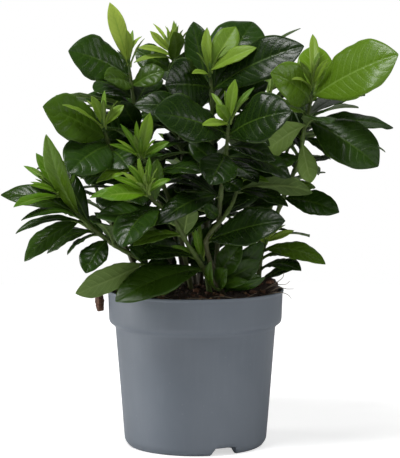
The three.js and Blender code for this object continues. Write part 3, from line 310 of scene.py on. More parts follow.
# Young leaves: the share of the shoot's length, and the same numbers.
YOUNG_LEAVES = {
    "left_low": [
        Row(0.5, (-124, -96, 184), 10, (0, -0.6, 0.8), 0.03),
        Row(0.95, (-113, -86, 198), 5, (0, -0.8, 0.6), 0.05),
        Row(0.9, (-106, -88, 203), 4.5, (0.2, -0.8, 0.6), 0.06),
        Row(0.8, (-97, -80, 209), 4.5, (0.3, -0.9, 0.3), 0.05),
        Row(0.6, (-89, -74, 210), 4, (0.5, -0.8, 0.2), 0.05),
        Row(0.3, (-111, -62, 219), 8, (0.2, -1, 0.2), 0.04, 0.05),
        Row(0.4, (-121, -56, 214), 4.5, (0.2, -0.9, 0.4), 0.06),
    ],
    "left_tall": [
        Row(0.85, (-61, -25, 324), 11.5, (0.15, -1, 0.1), 0.03, 0.95),
        Row(0.95, (-49, -30, 305), 6.5, (0.6, -0.8, 0), 0.04, 0.6),
        Row(0.8, (-41, -12, 302), 5, (-0.7, -0.6, 0.2), 0.1, 0.6),
    ],
    "left": [
        Row(0.7, (-93, -85, 250), 6.5, (0, -0.6, 0.9), 0.03, 0.35),
        Row(0.9, (-72, -66, 258), 6.5, (0.3, -1, 0.2), 0.04, 0.35),
        Row(0.9, (-50, -60, 252), 7, (-0.3, -1, 0.3), 0.05, 0.35),
    ],
    "middle": [
        Row(0.6, (8, -41, 306), 7.5, (-0.5, -0.9, 0), 0.03, 0.45),
        Row(0.9, (29, -32, 307), 17, (-0.2, -1, 0.1), 0.05, 0.3),
        Row(0.8, (43, -51, 292), 11.5, (-0.2, -0.8, 0.6), 0.06, 0.4),
        Row(0.3, (-8, -70, 272), 6, (0.3, -0.5, 0.8), 0.05, 0.4),
    ],
    "front": [
        Row(0.9, (27, -85, 270), 7.5, (-0.4, -1, 0), 0.03, 0.3),
        Row(0.8, (18, -90, 255), 8, (0.3, -1, 0.2), 0.06, 0.2),
        Row(0.5, (6, -98, 241), 6.5, (0.1, -0.8, 0.6), 0.06, 0.4),
        Row(0.9, (11, -70, 261), 4, (0.3, -1, 0.3), 0.04, 0.25),
        Row(0.9, (21, -74, 269), 3.5, (0, -1, 0.2), 0.04, 0.25),
        Row(0.8, (39, -70, 264), 4, (-0.4, -1, 0.3), 0.04),
    ],
    "right": [
        Row(0.9, (84, -26, 302), 6.5, (0.1, -1, 0.3), 0.08, 0.45),
        Row(0.5, (45, -80, 264), 5, (0.1, -0.6, 0.8), 0.06, 0.5),
        Row(0.9, (92, -60, 284), 5, (-0.4, -0.9, 0.2), 0.05, 0.4),
        Row(0.8, (74, -52, 282), 4.5, (0.3, -1, 0.2), 0.05, 0.3),
    ],
    "front_left": [
        Row(0.7, (-64, -105, 191), 13, (0, -0.8, 0.6), 0.06),
        Row(0.9, (-56, -100, 204), 4.5, (0.1, -0.8, 0.6), 0.04),
        Row(0.95, (-50, -96, 209), 4, (0.2, -0.8, 0.6), 0.04),
        Row(0.9, (-43, -92, 215), 4, (0.2, -1, 0.4), 0.04),
        Row(0.85, (-37, -88, 217), 4, (0.3, -1, 0.3), 0.04),
        Row(0.8, (-20, -84, 208), 5, (-0.4, -0.9, 0.2)),
        Row(0.3, (-71, -96, 196), 7, (0, -0.7, 0.7), 0.12),
    ],
    "inner_twig": [
        Row(0.9, (-31, -81, 247), 8.5, (0.1, -1, 0.3), 0.05, 0.3),
        Row(0.85, (-18, -76, 227), 6, (-0.4, -0.9, 0.4), 0.06),
        Row(0.9, (-50, -80, 239), 4, (0.3, -1, 0.3), 0.03),
        Row(0.9, (-43, -77, 242), 4, (0.2, -1, 0.2), 0.03),
        Row(0.7, (-58, -90, 226), 4, (0.2, -0.8, 0.6), 0.03),
    ],
    "back_tall": [
        Row(0.9, (-33, 5, 304), 5.5, (0.3, -1, 0.2), 0.04, 0.7),
        Row(0.95, (-25, 8, 307), 5, (0.2, -1, 0.1), 0.04, 0.7),
        Row(0.9, (-12, 9, 306), 6, (-0.3, -1, 0.1), 0.04, 0.7),
        Row(0.9, (-31, 20, 310), 3.5, (0.5, -0.6, 0.2), 0.03, 0.8),
        Row(0.95, (-20, 21, 311), 3.5, (0.1, -1, 0.1), 0.03, 0.7),
        Row(0.4, (-45, -2, 281), 5, (0, -0.6, 0.8), 0.1, 0.5),
        Row(0.5, (-42, 2, 295), 5, (0, -0.8, 0.6), 0.1, 0.6),
    ],
    "centre_low": [
        Row(0.9, (40, -50, 216), 6, (0, -1, 0.3), 0.05),
        Row(0.9, (22, -30, 218), 5, (0.3, -1, 0.3), 0.05),
        Row(0.5, (52, -52, 198), 5, (0, -0.7, 0.7), 0.08),
    ],
    "back_left": [
        Row(0.9, (-60, 66, 282), 10, (0, 1, 0.1), 0.04),
        Row(0.9, (-76, 72, 268), 7, (0.3, 0.8, 0.4), 0.05),
        Row(0.8, (-38, 76, 266), 7, (-0.3, 0.8, 0.5), 0.05),
        Row(0.6, (-54, 88, 258), 6, (0, 0.6, 0.8), 0.06),
    ],
    "back_right": [
        Row(0.9, (62, 70, 294), 11, (0, 1, 0.1), 0.04),
        Row(0.9, (78, 78, 276), 7.5, (-0.3, 0.8, 0.4), 0.05),
        Row(0.8, (38, 80, 278), 7, (0.3, 0.8, 0.5), 0.05),
        Row(0.6, (56, 94, 266), 6, (0, 0.6, 0.8), 0.06),
    ],
    "back_low": [
        Row(0.9, (-10, 92, 240), 10, (0, 1, 0.2), 0.04),
        Row(0.9, (-28, 100, 228), 6.5, (0.3, 0.8, 0.5), 0.05),
        Row(0.8, (14, 102, 226), 6.5, (-0.3, 0.8, 0.5), 0.05),
    ],
    "side_left": [
        Row(0.9, (-86, 32, 228), 9, (-1, 0.2, 0.2), 0.04),
        Row(0.8, (-98, 44, 214), 6, (-0.5, 0.4, 0.8), 0.05),
    ],
    "side_right": [
        Row(0.9, (74, 54, 268), 7, (0.3, 1, 0.2), 0.04),
        Row(0.8, (98, 56, 256), 6, (0.5, 0.4, 0.8), 0.05),
    ],
    "right_side": [
        Row(0.9, (56, -22, 165), 5.5, (0.2, -1, 0.2), 0.05, 0.6),
        Row(0.9, (68, -22, 161), 5, (-0.3, -0.9, 0.3), 0.05, 0.5),
        Row(0.6, (40, -24, 158), 4.5, (0.3, -0.9, 0.4), 0.05, 0.4),
    ],
    "front_left_side": [
        Row(0.9, (0, -46, 163), 5, (0, -1, 0.2), 0.04),
        Row(0.9, (8, -44, 160), 4.5, (-0.2, -1, 0.2), 0.04),
        Row(0.5, (-12, -52, 154), 5, (0.1, -0.9, 0.4), 0.06),
    ],
}

# Grown leaves that the imported stems leave out. Those with a tone below 0 are darkened as painted shade.
FURTHER_LEAVES = {
    "back_tall": [
        Row(280, (-20, -6, 306), 15, (0.3, -0.8, 0.5), 0.05, 0.6),
    ],
    "left": [
        Row(214, (-88, -60, 238), 20, (0.1, -0.5, 0.85), 0.08, -0.2),
    ],
    "left_tall": [
        Row(222, (-74, 0, 214), 26, (0, -0.8, 0.6), 0.1, -0.8),
        Row(262, (-69, -18, 297), 24, (0, -0.85, 0.55), 0.06, 0.05),
        Row(246, (-82, 4, 266), 20, (0.1, -0.8, 0.6), 0.06, -0.3),
        Row(246, (-95, -42, 260), 9, (0, 0.2, 1), 0.04, 0.75),
    ],
    "right": [
        Row(118, (75, -24, 134), 9, (0.1, -0.7, 0.7), 0.1, -0.5),
    ],
    "middle": [
        Row(244, (53, -30, 266), 20, (0.1, -0.8, 0.5), 0.08, -0.9),
    ],
    "left_low": [
        Row(166, (-93, -20, 209), 18, (0, -0.8, 0.6), 0.08, -0.6),
        Row(158, (-90, -30, 197), 18, (0, -0.8, 0.6), 0.08, -0.7),
        Row(164, (-123, -88, 177), 9, (-0.1, -0.4, 0.9), 0.15, 0.1),
        Row(150, (-82, -60, 192), 12, (0, -0.7, 0.7), 0.1, -0.4),
        Row(134, (-60, -50, 150), 12, (0, -0.8, 0.5), 0.1, -0.2),
    ],
    "centre_low": [
        Row(122, (45, -44, 156), 15, (0.3, -0.85, 0.3), 0.1, 0.05),
        Row(120, (37, -52, 152), 10, (-0.7, -0.6, 0.2), 0.16, 0.2),
        Row(118, (31, -66, 146), 9, (-0.3, -0.9, 0.2), 0.18, 0.25),
        Row(121, (46, -50, 149), 9, (0.6, -0.7, 0.2), 0.12, 0.1),
        Row(116, (49, -54, 139), 10, (-0.2, -0.8, 0.25), 0.16, 0.15),
    ],
}

# Small turns in degrees that a leaf may take to stay clear of its neighbours: lift, swing, length share.
POSES = [
    (0, 0, 1), (6, 0, 1), (-6, 0, 1), (0, 6, 1), (0, -6, 1), (9, 7, 1), (-9, -7, 1), (9, -7, 1),
    (-9, 7, 1), (14, 0, 1), (-14, 0, 1), (0, 14, 1), (0, -14, 1), (14, 12, 0.95), (-14, -12, 0.95),
    (14, -12, 0.95), (-14, 12, 0.95), (0, 0, 0.85), (22, 0, 0.92), (-22, 0, 0.92), (0, 22, 0.92),
    (0, -22, 0.92), (22, 18, 0.9), (-22, -18, 0.9), (22, -18, 0.9), (-22, 18, 0.9), (30, 0, 0.85),
    (-30, 0, 0.85), (0, 30, 0.85), (0, -30, 0.85), (0, 0, 0.7), (38, 0, 0.75), (-38, 0, 0.75),
    (0, 38, 0.75), (0, -38, 0.75),
]
HAND_POSES = 22  # a stem's own table leaves try only the first, smaller turns

# How many leaflets these shoots have round their buds, and the tone of the lightest.
TUFTS = {
    "left_low": (28, 0.3), "front_left": (14, 0.6), "left": (6, 0.6), "inner_twig": (8, 0.35),
    "back_tall": (12, 0.75), "left_tall": (4, 0.75), "middle": (3, 0.6), "front": (4, 0.4),
    "right": (5, 0.75),
}

# How green these stems are at their feet.
GREEN_STEMS = {"front_left": 1.0, "left_low": 0.5, "right": 0.45, "front": 0.2, "inner_twig": 0.2}


# ---- small sums


def unit(vectors: Array) -> Array:
    """Each vector, along the last axis, divided by its length."""
    return vectors / np.maximum(np.linalg.norm(vectors, axis=-1, keepdims=True), 1e-12)


def dot(a: Array, b: Array) -> Array:
    """The dot product along the last axis, which is kept with length 1."""
    return np.sum(a * b, axis=-1, keepdims=True)


def draw(index: Array | float, series: float) -> Array | float:
    """A repeatable draw between 0 and 1: the fraction of a large multiple of a sine."""
    value = np.sin(index * 12.9898 + series * 78.233) * 43758.5453
    return value - np.floor(value)


def between(low: float, high: float, share: Array | float) -> Array | float:
    """The value at a share of the way from low to high."""
    return low + (high - low) * share


def ramp(values: Array, start: float, end: float) -> Array:
    """A smooth step: 0 at start, 1 at end, and three parts square less two parts cube between."""
    share = np.clip((values - start) / (end - start), 0.0, 1.0)
    return share * share * (3 - 2 * share)


def rotated(vector: Array, axis: Array, degrees: float) -> Array:
    """A vector turned about a unit axis, by Rodrigues' formula.

    Args:
        vector: what is turned.
        axis: the unit axis.
        degrees: how far, right-handed.

    Returns:
        The turned vector: v cos + (axis x v) sin + axis (axis . v)(1 - cos).
    """
    angle = math.radians(degrees)
    swept = np.cross(axis, vector) * math.sin(angle)
    return vector * math.cos(angle) + swept + axis * (axis @ vector) * (1 - math.cos(angle))


def ways_out(turn: float, rise: float) -> tuple[Array, Array]:
    """The level way out at a turn from +X, and the same way raised, both from degrees."""
    out = np.array([math.cos(math.radians(turn)), math.sin(math.radians(turn)), 0.0])
    return out, out * math.cos(math.radians(rise)) + UP * math.sin(math.radians(rise))


def smooth_line(points: Array, steps: int) -> Array:
    """A finer line through given points, each stretch a Catmull-Rom cubic.

    Args:
        points: (n, 3) points that the line passes through.
        steps: how many short stretches each one becomes.

    Returns:
        ((n - 1) * steps + 1, 3) points.
    """
    wide = np.concatenate([2 * points[:1] - points[1:2], points, 2 * points[-1:] - points[-2:-1]])
    a, b, c, d = (wide[i : len(wide) - 3 + i, None] for i in range(4))
    t = np.linspace(0, 1, steps, endpoint=False)[None, :, None]
    curve = 2 * b + (c - a) * t + (2 * a - 5 * b + 4 * c - d) * t**2 + (3 * b - a - 3 * c + d) * t**3
    return np.concatenate([0.5 * curve.reshape(-1, 3), points[-1:]])


# ---- shapes and pieces


@dataclass
class Shape:
    """Points in millimetres, quads that face outwards, and what the finishes read.

    finish is each quad's place in its piece's list of materials, smooth says whether it is shaded round,
    blade is each point's place on its blade or strip, and values are named numbers for each point.
    """

    points: Array
    quads: Array
    finish: int | Array = 0
    smooth: bool | Array = True
    blade: Array | None = None
    values: dict[str, Array | float] = field(default_factory=dict)

    def __post_init__(self) -> None:
        """Spreads single values over all the quads and points."""
        count, faces = len(self.points), len(self.quads)
        self.finish = np.broadcast_to(np.asarray(self.finish, np.int32), (faces,))
        self.smooth = np.broadcast_to(np.asarray(self.smooth, bool), (faces,))
        self.values = {
            name: np.broadcast_to(np.asarray(v, float), (count,)) for name, v in self.values.items()
        }

    @staticmethod
    def join(shapes: Sequence["Shape"]) -> "Shape":
        """All the shapes as one, with zeros where a shape lacks one of the named values.

        Args:
            shapes: at least one shape.

        Returns:
            The joined shape.
        """
        starts = np.cumsum([0] + [len(s.points) for s in shapes[:-1]])
        names = sorted({name for s in shapes for name in s.values})
        blades = [s.blade for s in shapes]
        return Shape(
            points=np.concatenate([s.points for s in shapes]),
            quads=np.concatenate([s.quads + start for s, start in zip(shapes, starts)]),
            finish=np.concatenate([s.finish for s in shapes]),
            smooth=np.concatenate([s.smooth for s in shapes]),
            blade=None if blades[0] is None else np.concatenate(blades),
            values={
                name: np.concatenate([s.values.get(name, np.zeros(len(s.points))) for s in shapes])
                for name in names
            },
        )

    def piece(
        self, name: str, slot: str, node: str, materials: Sequence[Material]
    ) -> Piece:
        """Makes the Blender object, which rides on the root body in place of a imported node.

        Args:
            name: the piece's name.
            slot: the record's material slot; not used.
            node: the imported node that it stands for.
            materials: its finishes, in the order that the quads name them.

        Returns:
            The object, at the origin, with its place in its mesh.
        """
        mesh = bpy.data.meshes.new(name)
        mesh.vertices.add(len(self.points))
        mesh.vertices.foreach_set("co", (self.points * MM).astype(np.float32).ravel())
        mesh.loops.add(self.quads.size)
        mesh.loops.foreach_set("vertex_index", self.quads.astype(np.int32).ravel())
        mesh.polygons.add(len(self.quads))
        mesh.polygons.foreach_set("loop_start", np.arange(0, self.quads.size, 4, dtype=np.int32))
        mesh.polygons.foreach_set("material_index", self.finish)
        mesh.polygons.foreach_set("use_smooth", self.smooth)
        if self.blade is not None:
            mesh.uv_layers.new(name="blade").data.foreach_set("uv", self.blade[self.quads.ravel()].ravel())
        for label, numbers in self.values.items():
            layer = mesh.attributes.new(label, "FLOAT", "POINT")
            layer.data.foreach_set("value", numbers.astype(np.float32))
        for material in materials:
            mesh.materials.append(material)
        mesh.update(calc_edges=True)
        piece = bpy.data.objects.new(name, mesh)
        bpy.context.scene.collection.objects.link(piece)
        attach(piece, "root")
        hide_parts(node)
        log.info("%s: %d quads in place of %s", name, len(self.quads), node)
        return piece


def closed_rings(rings: int, sides: int) -> Array:
    """Quads of a closed form made of rings, each anticlockwise as the next lies ahead.

    Args:
        rings: how many rings follow each other.
        sides: points in each ring, an even number.

    Returns:
        Quads between the rings, and strips from side to side over the first and the last ring.
    """
    ring, side = np.meshgrid(np.arange(rings - 1), np.arange(sides), indexing="ij")
    here, beside = ring * sides + side, ring * sides + (side + 1) % sides
    walls = np.stack([here, beside, beside + sides, here + sides], axis=-1).reshape(-1, 4)
    i = np.arange(sides // 2 - 1)
    strips = np.stack([i, i + 1, sides - 2 - i, sides - 1 - i], axis=1)
    return np.concatenate([walls, strips[:, ::-1], strips + (rings - 1) * sides])


def tube(path: Array, radii: Array, sides: int, **extra: object) -> Shape:
    """A closed tube: at each point of the path, a circle across the way that the path runs.

    Args:
        path: (n, 3) centres.
        radii: a radius for each centre.
        sides: points round the tube, an even number.
        extra: further fields of the shape. A named value may be given for each centre.

    Returns:
        The shape, with its blade coordinates along and round the tube.
    """
    run = unit(np.gradient(path, axis=0))
    reference = np.eye(3)[np.argmin(np.abs(run.mean(axis=0)))]
    side = unit(reference - run * dot(run, reference))
    other = np.cross(run, side)
    angle = np.linspace(0, 2 * math.pi, sides, endpoint=False)[None, :, None]
    spokes = side[:, None] * np.cos(angle) + other[:, None] * np.sin(angle)
    points = path[:, None] + spokes * np.asarray(radii)[:, None, None]
    along = np.repeat(np.linspace(0, 1, len(path)), sides)
    around = np.tile(np.linspace(0, 1, sides), len(path))
    values = {
        name: np.repeat(v, sides) if np.size(v) == len(path) else v
        for name, v in extra.pop("values", {}).items()
    }
    blade = np.stack([along, around], axis=1)
    quads = closed_rings(len(path), sides)
    return Shape(points.reshape(-1, 3), quads, blade=blade, values=values, **extra)


def slabs(top: Array, under: Array) -> tuple[Array, Array, Array]:
    """Joins upper and lower faces into closed slabs.

    Args:
        top: (slabs, rows, columns, 3) points of the upper faces.
        under: the same for the lower faces.

    Returns:
        The points, the quads, and for each quad 0 on the upper face, 1 on the lower one and 2 on the rim.
    """
    count, rows, columns = top.shape[:3]
    size = rows * columns
    row, column = np.meshgrid(np.arange(rows - 1), np.arange(columns - 1), indexing="ij")
    a = (row * columns + column).ravel()
    upper = np.stack([a, a + 1, a + columns + 1, a + columns], axis=1)
    grid = np.arange(size).reshape(rows, columns)
    loop = np.concatenate([grid[0, :-1], grid[:-1, -1], grid[-1, :0:-1], grid[:0:-1, 0]])
    after = np.roll(loop, -1)
    rim = np.stack([loop + size, after + size, after, loop], axis=1)
    one = np.concatenate([upper, upper[:, ::-1] + size, rim])
    kind = np.repeat([0, 1, 2], [len(upper), len(upper), len(rim)])
    starts = (np.arange(count) * 2 * size)[:, None, None]
    points = np.concatenate([top.reshape(count, size, 3), under.reshape(count, size, 3)], axis=1)
    return points.reshape(-1, 3), (one[None] + starts).reshape(-1, 4), np.tile(kind, count)


# ---- leaves


@dataclass(frozen=True)
class LeafForm:
    """The plain form of every leaf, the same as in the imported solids."""

    stalk: float = 0.06  # share of the length that is bare stalk
    stalk_half: float = 0.95
    widest: float = 1.3  # exponent that moves the widest place outwards
    fullness: float = 0.66  # exponent of the outline: smaller is fuller
    fold: float = 0.2
    droop: float = 0.16
    ripple: float = 0.07
    waves: float = 2.3
    last_row: float = 0.78  # the solid's last row of points, and the same on a long leaf
    last_long_row: float = 0.84
    long: float = 74.0


FORM = LeafForm()


@dataclass(frozen=True)
class Leaf:
    """One blade: root, tip, full width, the way its upper face looks, arch, wave phase and tone."""

    base: Array
    tip: Array
    width: float
    faces: Array
    arch: float
    phase: float
    tone: float

    @staticmethod
    def of(base: Array, tip: Array, width: float, faces: Array, arch: float, tone: float) -> "Leaf":
        """A leaf whose waves' phase comes from where its tip points, so that no two are alike."""
        phase = float(tip @ np.array([0.37, 0.23, 0.31]))
        return Leaf(base, tip, width, faces, arch, phase, tone)

    @staticmethod
    def of_row(row: Row, base: Array) -> "Leaf":
        """The leaf of a table's row, rooted at a base."""
        return Leaf.of(base, np.array(row.tip, float), row.width, np.array(row.faces), row.arch, row.tone)

    def turned(self, pose: Vec3) -> "Leaf":
        """The leaf turned about its root.

        Args:
            pose: its lift to its upper face and its swing sideways, in degrees, and its length's share.

        Returns:
            The turned leaf.
        """
        lift, swing, share = pose
        along = unit(self.tip - self.base)
        up = unit(self.faces - along * (self.faces @ along))
        side = np.cross(along, up)
        reach = rotated(rotated(self.tip - self.base, side, lift), up, swing) * share
        faces = rotated(rotated(up, side, lift), up, swing)
        return Leaf(self.base, self.base + reach, self.width * share, faces, self.arch, self.phase, self.tone)


@dataclass(frozen=True)
class BladeLook:
    """How finely a kind of leaf is made and how deep its relief is, in millimetres."""

    rows: int
    columns: int
    quilt: float  # how far the blade bulges between two side veins
    groove: float  # depth of the valley over the midrib
    rib: float  # height of the midrib below
    thickness: float
    vein_spacing: float  # length of blade for each pair of side veins
    fold: float  # extra rise of each half
    pointed: float = 0.16  # how much more pointed the tip is than a half sine
    stalk_share: float = 0.1  # the most that the stalk's half width may be of the leaf's full width


@dataclass(frozen=True)
class Relief:
    """The small relief that every fine leaf has, in millimetres."""

    calm: float = 2.4  # distance from the midrib in which the quilting sets in
    full: float = 26.0  # width of a leaf that has the whole relief
    groove_half: float = 0.75
    rib_half: float = 0.62
    flutter: float = 0.3
    waves: tuple[float, float] = (5, 8)  # the flutter's waves along a margin
    twist: float = 0.09  # rise for each millimetre sideways
    curl: tuple[float, float] = (0.2, 1.6)  # how far the tip hangs
    sway: float = 1.0
    stalk: float = 1.1  # the stalk's depth at the root
    thinning: float = 0.55  # share of the thickness that the margin lacks
    vein: float = 0.12  # how far a side vein stands out below


RELIEF = Relief()


class BladeLooks(Enum):
    """The kinds of leaf."""

    GROWN = BladeLook(60, 17, 0.7, 0.4, 0.8, 0.5, 6.6, 0.0)
    INNER = BladeLook(40, 13, 0.55, 0.35, 0.7, 0.5, 6.6, 0.0)
    FURTHER = BladeLook(26, 9, 0.45, 0.35, 0.7, 0.5, 6.6, 0.0)
    LEAFLET = BladeLook(18, 5, 0.06, 0.2, 0.3, 0.4, 4.5, 0.2, 0.3)
    YOUNG = BladeLook(28, 11, 0.28, 0.25, 0.4, 0.4, 4.5, 0.22, 0.3)


class Blades:
    """Leaves stacked together, so that all their surfaces come from one sum."""

    def __init__(self, leaves: Sequence[Leaf]) -> None:
        """Stacks the leaves' numbers and works out their directions.

        Args:
            leaves: at least one leaf.
        """
        self.base = np.stack([leaf.base for leaf in leaves])
        reach = np.stack([leaf.tip for leaf in leaves]) - self.base
        faces = np.stack([leaf.faces for leaf in leaves])
        self.reach = reach
        self.length = np.linalg.norm(reach, axis=1)
        along = unit(reach)
        self.up = unit(faces - along * dot(faces, along))
        self.side = np.cross(along, self.up)
        self.width = np.array([leaf.width for leaf in leaves])
        self.bow = np.array([4 * leaf.arch for leaf in leaves]) * self.length
        self.phase = np.array([leaf.phase for leaf in leaves])
        self.tone = np.array([leaf.tone for leaf in leaves])

    def half_width(self, u: Array, pointed: float, stalk_share: float) -> Array:
        """Half widths at shares of the length: the sine of a half turn, skewed outwards and made fuller.

        Args:
            u: shares of the length.
            pointed: how much the outline's exponent grows towards the tip.
            stalk_share: the most that the stalk's half width may be of the leaf's full width.

        Returns:
            (leaves, rows) half widths.
        """
        blade = np.clip((u - FORM.stalk) / (1 - FORM.stalk), 0, 1)
        swell = np.sin(math.pi * blade**FORM.widest) ** (FORM.fullness + pointed * blade**6)
        stalk = np.minimum(FORM.stalk_half, stalk_share * self.width)
        return self.width[:, None] / 2 * swell[None] + stalk[:, None] * (1 - u)[None]

    def surface(
        self, u: Array, v: Array, pointed: float = 0.0, stalk_share: float = 1.0
    ) -> tuple[Array, Array, Array]:
        """The plain upper faces.

        The middle line is the straight reach plus a parabola's bow. Across it, each half rises with the
        distance from the midrib, falls back with its square, and has a wave along its margin.

        Args:
            u: shares of the length, one for each row.
            v: places across, from -1 to 1, one for each column.
            pointed: how much more pointed the tip is than a half sine.
            stalk_share: the most that the stalk's half width may be of the leaf's full width.

        Returns:
            Points (leaves, rows, columns, 3), the ways up (leaves, rows, 1, 3) and half widths.
        """
        rows = u[None, :, None]
        reach, up, side = self.reach[:, None], self.up[:, None], self.side[:, None]
        bow = self.bow[:, None, None]
        centre = self.base[:, None] + reach * rows + up * (bow * rows * (1 - rows))
        normal = np.cross(side, unit(reach + up * (bow * (1 - 2 * rows))))[:, :, None]
        half = self.half_width(u, pointed, stalk_share)[:, :, None]
        wave = np.sin(2 * math.pi * FORM.waves * rows + self.phase[:, None, None] + 1.3 * v) * v * v
        lift = half * (FORM.fold * np.abs(v) - FORM.droop * v * v + FORM.ripple * wave)
        out = side[:, :, None] * (v * half)[..., None]
        return centre[:, :, None] + out + normal * lift[..., None], normal, half

    def dress(self, look: BladeLook) -> Shape:
        """The fine leaves as closed slabs.

        Between two side veins the blade bulges by a power of a sine's size, which fades at the margin, at
        the midrib and at both ends. The midrib is a bell-shaped valley above and a bell-shaped rib below.
        Each leaf also sways, twists and curls a little by its own draws.

        Args:
            look: how finely they are made and how deep the relief is.

        Returns:
            The shape, with the first finish on upper faces and rims and the second on lower faces.
        """
        u = 0.5 - 0.5 * np.cos(np.linspace(0.0, 0.985, look.rows) * math.pi)
        u = 0.35 * u + 0.65 * np.linspace(0, 0.9965, look.rows)
        even = np.linspace(-1, 1, look.columns)
        v = np.sign(even) * np.abs(even) ** 1.25
        points, normal, half = self.surface(u, v, look.pointed, look.stalk_share)
        rows, across = u[None, :, None], np.abs(v)
        blade = np.clip((rows - FORM.stalk) / (1 - FORM.stalk), 0, 1)
        away = across * half  # distance from the midrib
        pairs = np.maximum(4.0, np.round(self.length / look.vein_spacing))[:, None, None]
        vein = np.abs(np.sin(math.pi * (pairs * side_vein(blade, across) + 0.12 * np.sign(v))))
        ends = np.sin(math.pi * blade) ** 0.5
        calm = ends * (1 - across**5) * ramp(away, 0.0, RELIEF.calm)
        size = np.minimum(1.0, np.sqrt(self.width / RELIEF.full))[:, None, None]
        quilt = look.quilt * size * calm * (vein**0.65 - 0.5)
        groove = look.groove * np.exp(-((away / RELIEF.groove_half) ** 2))
        groove = groove * ramp(blade, 0.0, 0.08) * (1 - 0.6 * rows)
        seed = [draw(self.phase, series)[:, None, None] for series in range(6)]
        waves = between(*RELIEF.waves, seed[0]) * rows + seed[1] + 0.3 * v
        flutter = RELIEF.flutter * size * across**6 * np.sin(2 * math.pi * waves)
        twist = between(-RELIEF.twist, RELIEF.twist, seed[2]) * ramp(rows, 0.1, 1.0) * v * half
        curl = -between(*RELIEF.curl, seed[3]) * rows**5
        rise = look.fold * half * (np.sqrt(v * v + 0.01) - 0.1) * ends
        lift = quilt - groove + flutter * ends + twist + curl + rise
        sway = between(-RELIEF.sway, RELIEF.sway, seed[4]) * np.sin(math.pi * rows)
        sway = sway + 0.25 * (seed[5] - 0.5) * np.sin(5 * rows)
        centred = points + self.side[:, None, None] * (sway * np.ones_like(v))[..., None]
        stalk = RELIEF.stalk * (1 - ramp(rows, 0.02, 0.16)) * np.sqrt(np.maximum(0.0, 1 - v * v))
        rib = look.rib * np.exp(-((away / RELIEF.rib_half) ** 2))
        rib = rib * (1 - 0.75 * rows) * ramp(1 - rows, 0.0, 0.1)
        plate = look.thickness * (1 - RELIEF.thinning * across**3)
        depth = plate + stalk + rib + RELIEF.vein * calm * (1 - vein)
        top = centred + normal * lift[..., None]
        under = top - normal * depth[..., None]
        flat, quads, kind = slabs(top, under)
        grid = np.stack(np.meshgrid(u, 0.5 + 0.5 * v, indexing="ij"), axis=-1).reshape(-1, 2)
        spread = np.ones((1, len(u), len(v)))
        per_point = {
            "off_rib": away * spread,
            "tone": self.tone[:, None, None] * spread,
            "seed": seed[0] * spread,
            "pairs": pairs * spread,
        }
        return Shape(
            points=flat,
            quads=quads,
            finish=kind == 1,
            smooth=kind != 2,
            blade=np.tile(grid, (2 * len(self.base), 1)),
            values={name: both_faces(numbers) for name, numbers in per_point.items()},
        )


def dressed(*groups: tuple[Sequence[Leaf], BladeLooks]) -> list[Shape]:
    """The fine leaves of each group that has any."""
    return [Blades(leaves).dress(look.value) for leaves, look in groups if leaves]


@dataclass
class Crown:
    """The space that the plant takes, in cells of a millimetre, and the shape of its crown.

    The crown's outline is kept to a round of its own radius and middle at each height, so that leaves
    which thicken the crown stay inside it and leave the open places open.
    """

    heights: tuple[float, ...] = (112, 130, 150, 175, 200, 240, 275, 300)
    radii: tuple[float, ...] = (20, 32, 45, 60, 80, 92, 72, 40)
    middles: tuple[float, ...] = (-5, -10, -15, -13, -8, 5, 5, 5)  # the middle's X at each height
    low: tuple[int, ...] = (-170, -160, 80)
    high: tuple[int, ...] = (180, 170, 350)
    clearance: float = 1.8
    rim: tuple[float, float] = (68.0, 118.0)  # radius and height that leaves keep clear of

    def __post_init__(self) -> None:
        """Starts empty, with the steps from a cell to its neighbours within the clearance."""
        self.size = np.subtract(self.high, self.low)
        self.taken = np.zeros(self.size, bool)
        steps = np.arange(-2, 3)
        ball = np.stack(np.meshgrid(steps, steps, steps, indexing="ij"), axis=-1).reshape(-1, 3)
        self.ball = ball[np.linalg.norm(ball, axis=1) < self.clearance]

    def cells(self, points: Array) -> Array:
        """The cell of each point."""
        return np.clip(np.floor(points - self.low).astype(int), 2, self.size - 3)

    def take(self, points: Array) -> None:
        """Marks the cells of these points and those around them."""
        near = (self.cells(points)[:, None] + self.ball).reshape(-1, 3)
        self.taken[tuple(near.T)] = True

    def holds(self, points: Array) -> bool:
        """Whether these points lie inside the crown's outline."""
        middles, radii = (np.interp(points[:, 2], self.heights, row) for row in (self.middles, self.radii))
        return bool((np.hypot(points[:, 0] - middles, points[:, 1]) < radii).all())

    def is_clear(self, points: Array) -> bool:
        """Whether these points are clear of what is there and of the pot's rim and soil."""
        low = (np.hypot(points[:, 0], points[:, 1]) < self.rim[0]) & (points[:, 2] < self.rim[1])
        return not (low.any() or self.taken[tuple(self.cells(points).T)].any())

    def grow(self, leaf: Leaf, poses: Sequence[Vec3], clear_from: float, inside: bool) -> list[Leaf]:
        """Grows one more leaf in its first clear pose and takes its space.

        Args:
            leaf: the leaf as its row or rule gives it.
            poses: the turns that it may take.
            clear_from: share of the leaf, at its stalk, that may touch its neighbours.
            inside: whether it has to stay inside the crown's outline.

        Returns:
            The turned leaf, or an empty list where no pose is clear.
        """
        rows, columns = np.linspace(clear_from, 1, 26), np.linspace(-1, 1, 13)
        for pose in poses:
            candidate = leaf.turned(pose)
            flat = Blades([candidate]).surface(rows, columns, 0.1)[0].reshape(-1, 3)
            if self.is_clear(flat) and (not inside or self.holds(flat)):
                self.take(flat)
                return [candidate]
        return []


def side_vein(blade: Array, across: Array) -> Array:
    """Where a place lies among the side veins: its share of the blade less the veins' forward slant."""
    return blade - 0.15 * across - 0.07 * across**3


def both_faces(numbers: Array) -> Array:
    """Numbers for each point of the upper faces, said again for the lower face of each leaf."""
    flat = numbers.reshape(len(numbers), -1)
    return np.concatenate([flat, flat], axis=1).ravel()


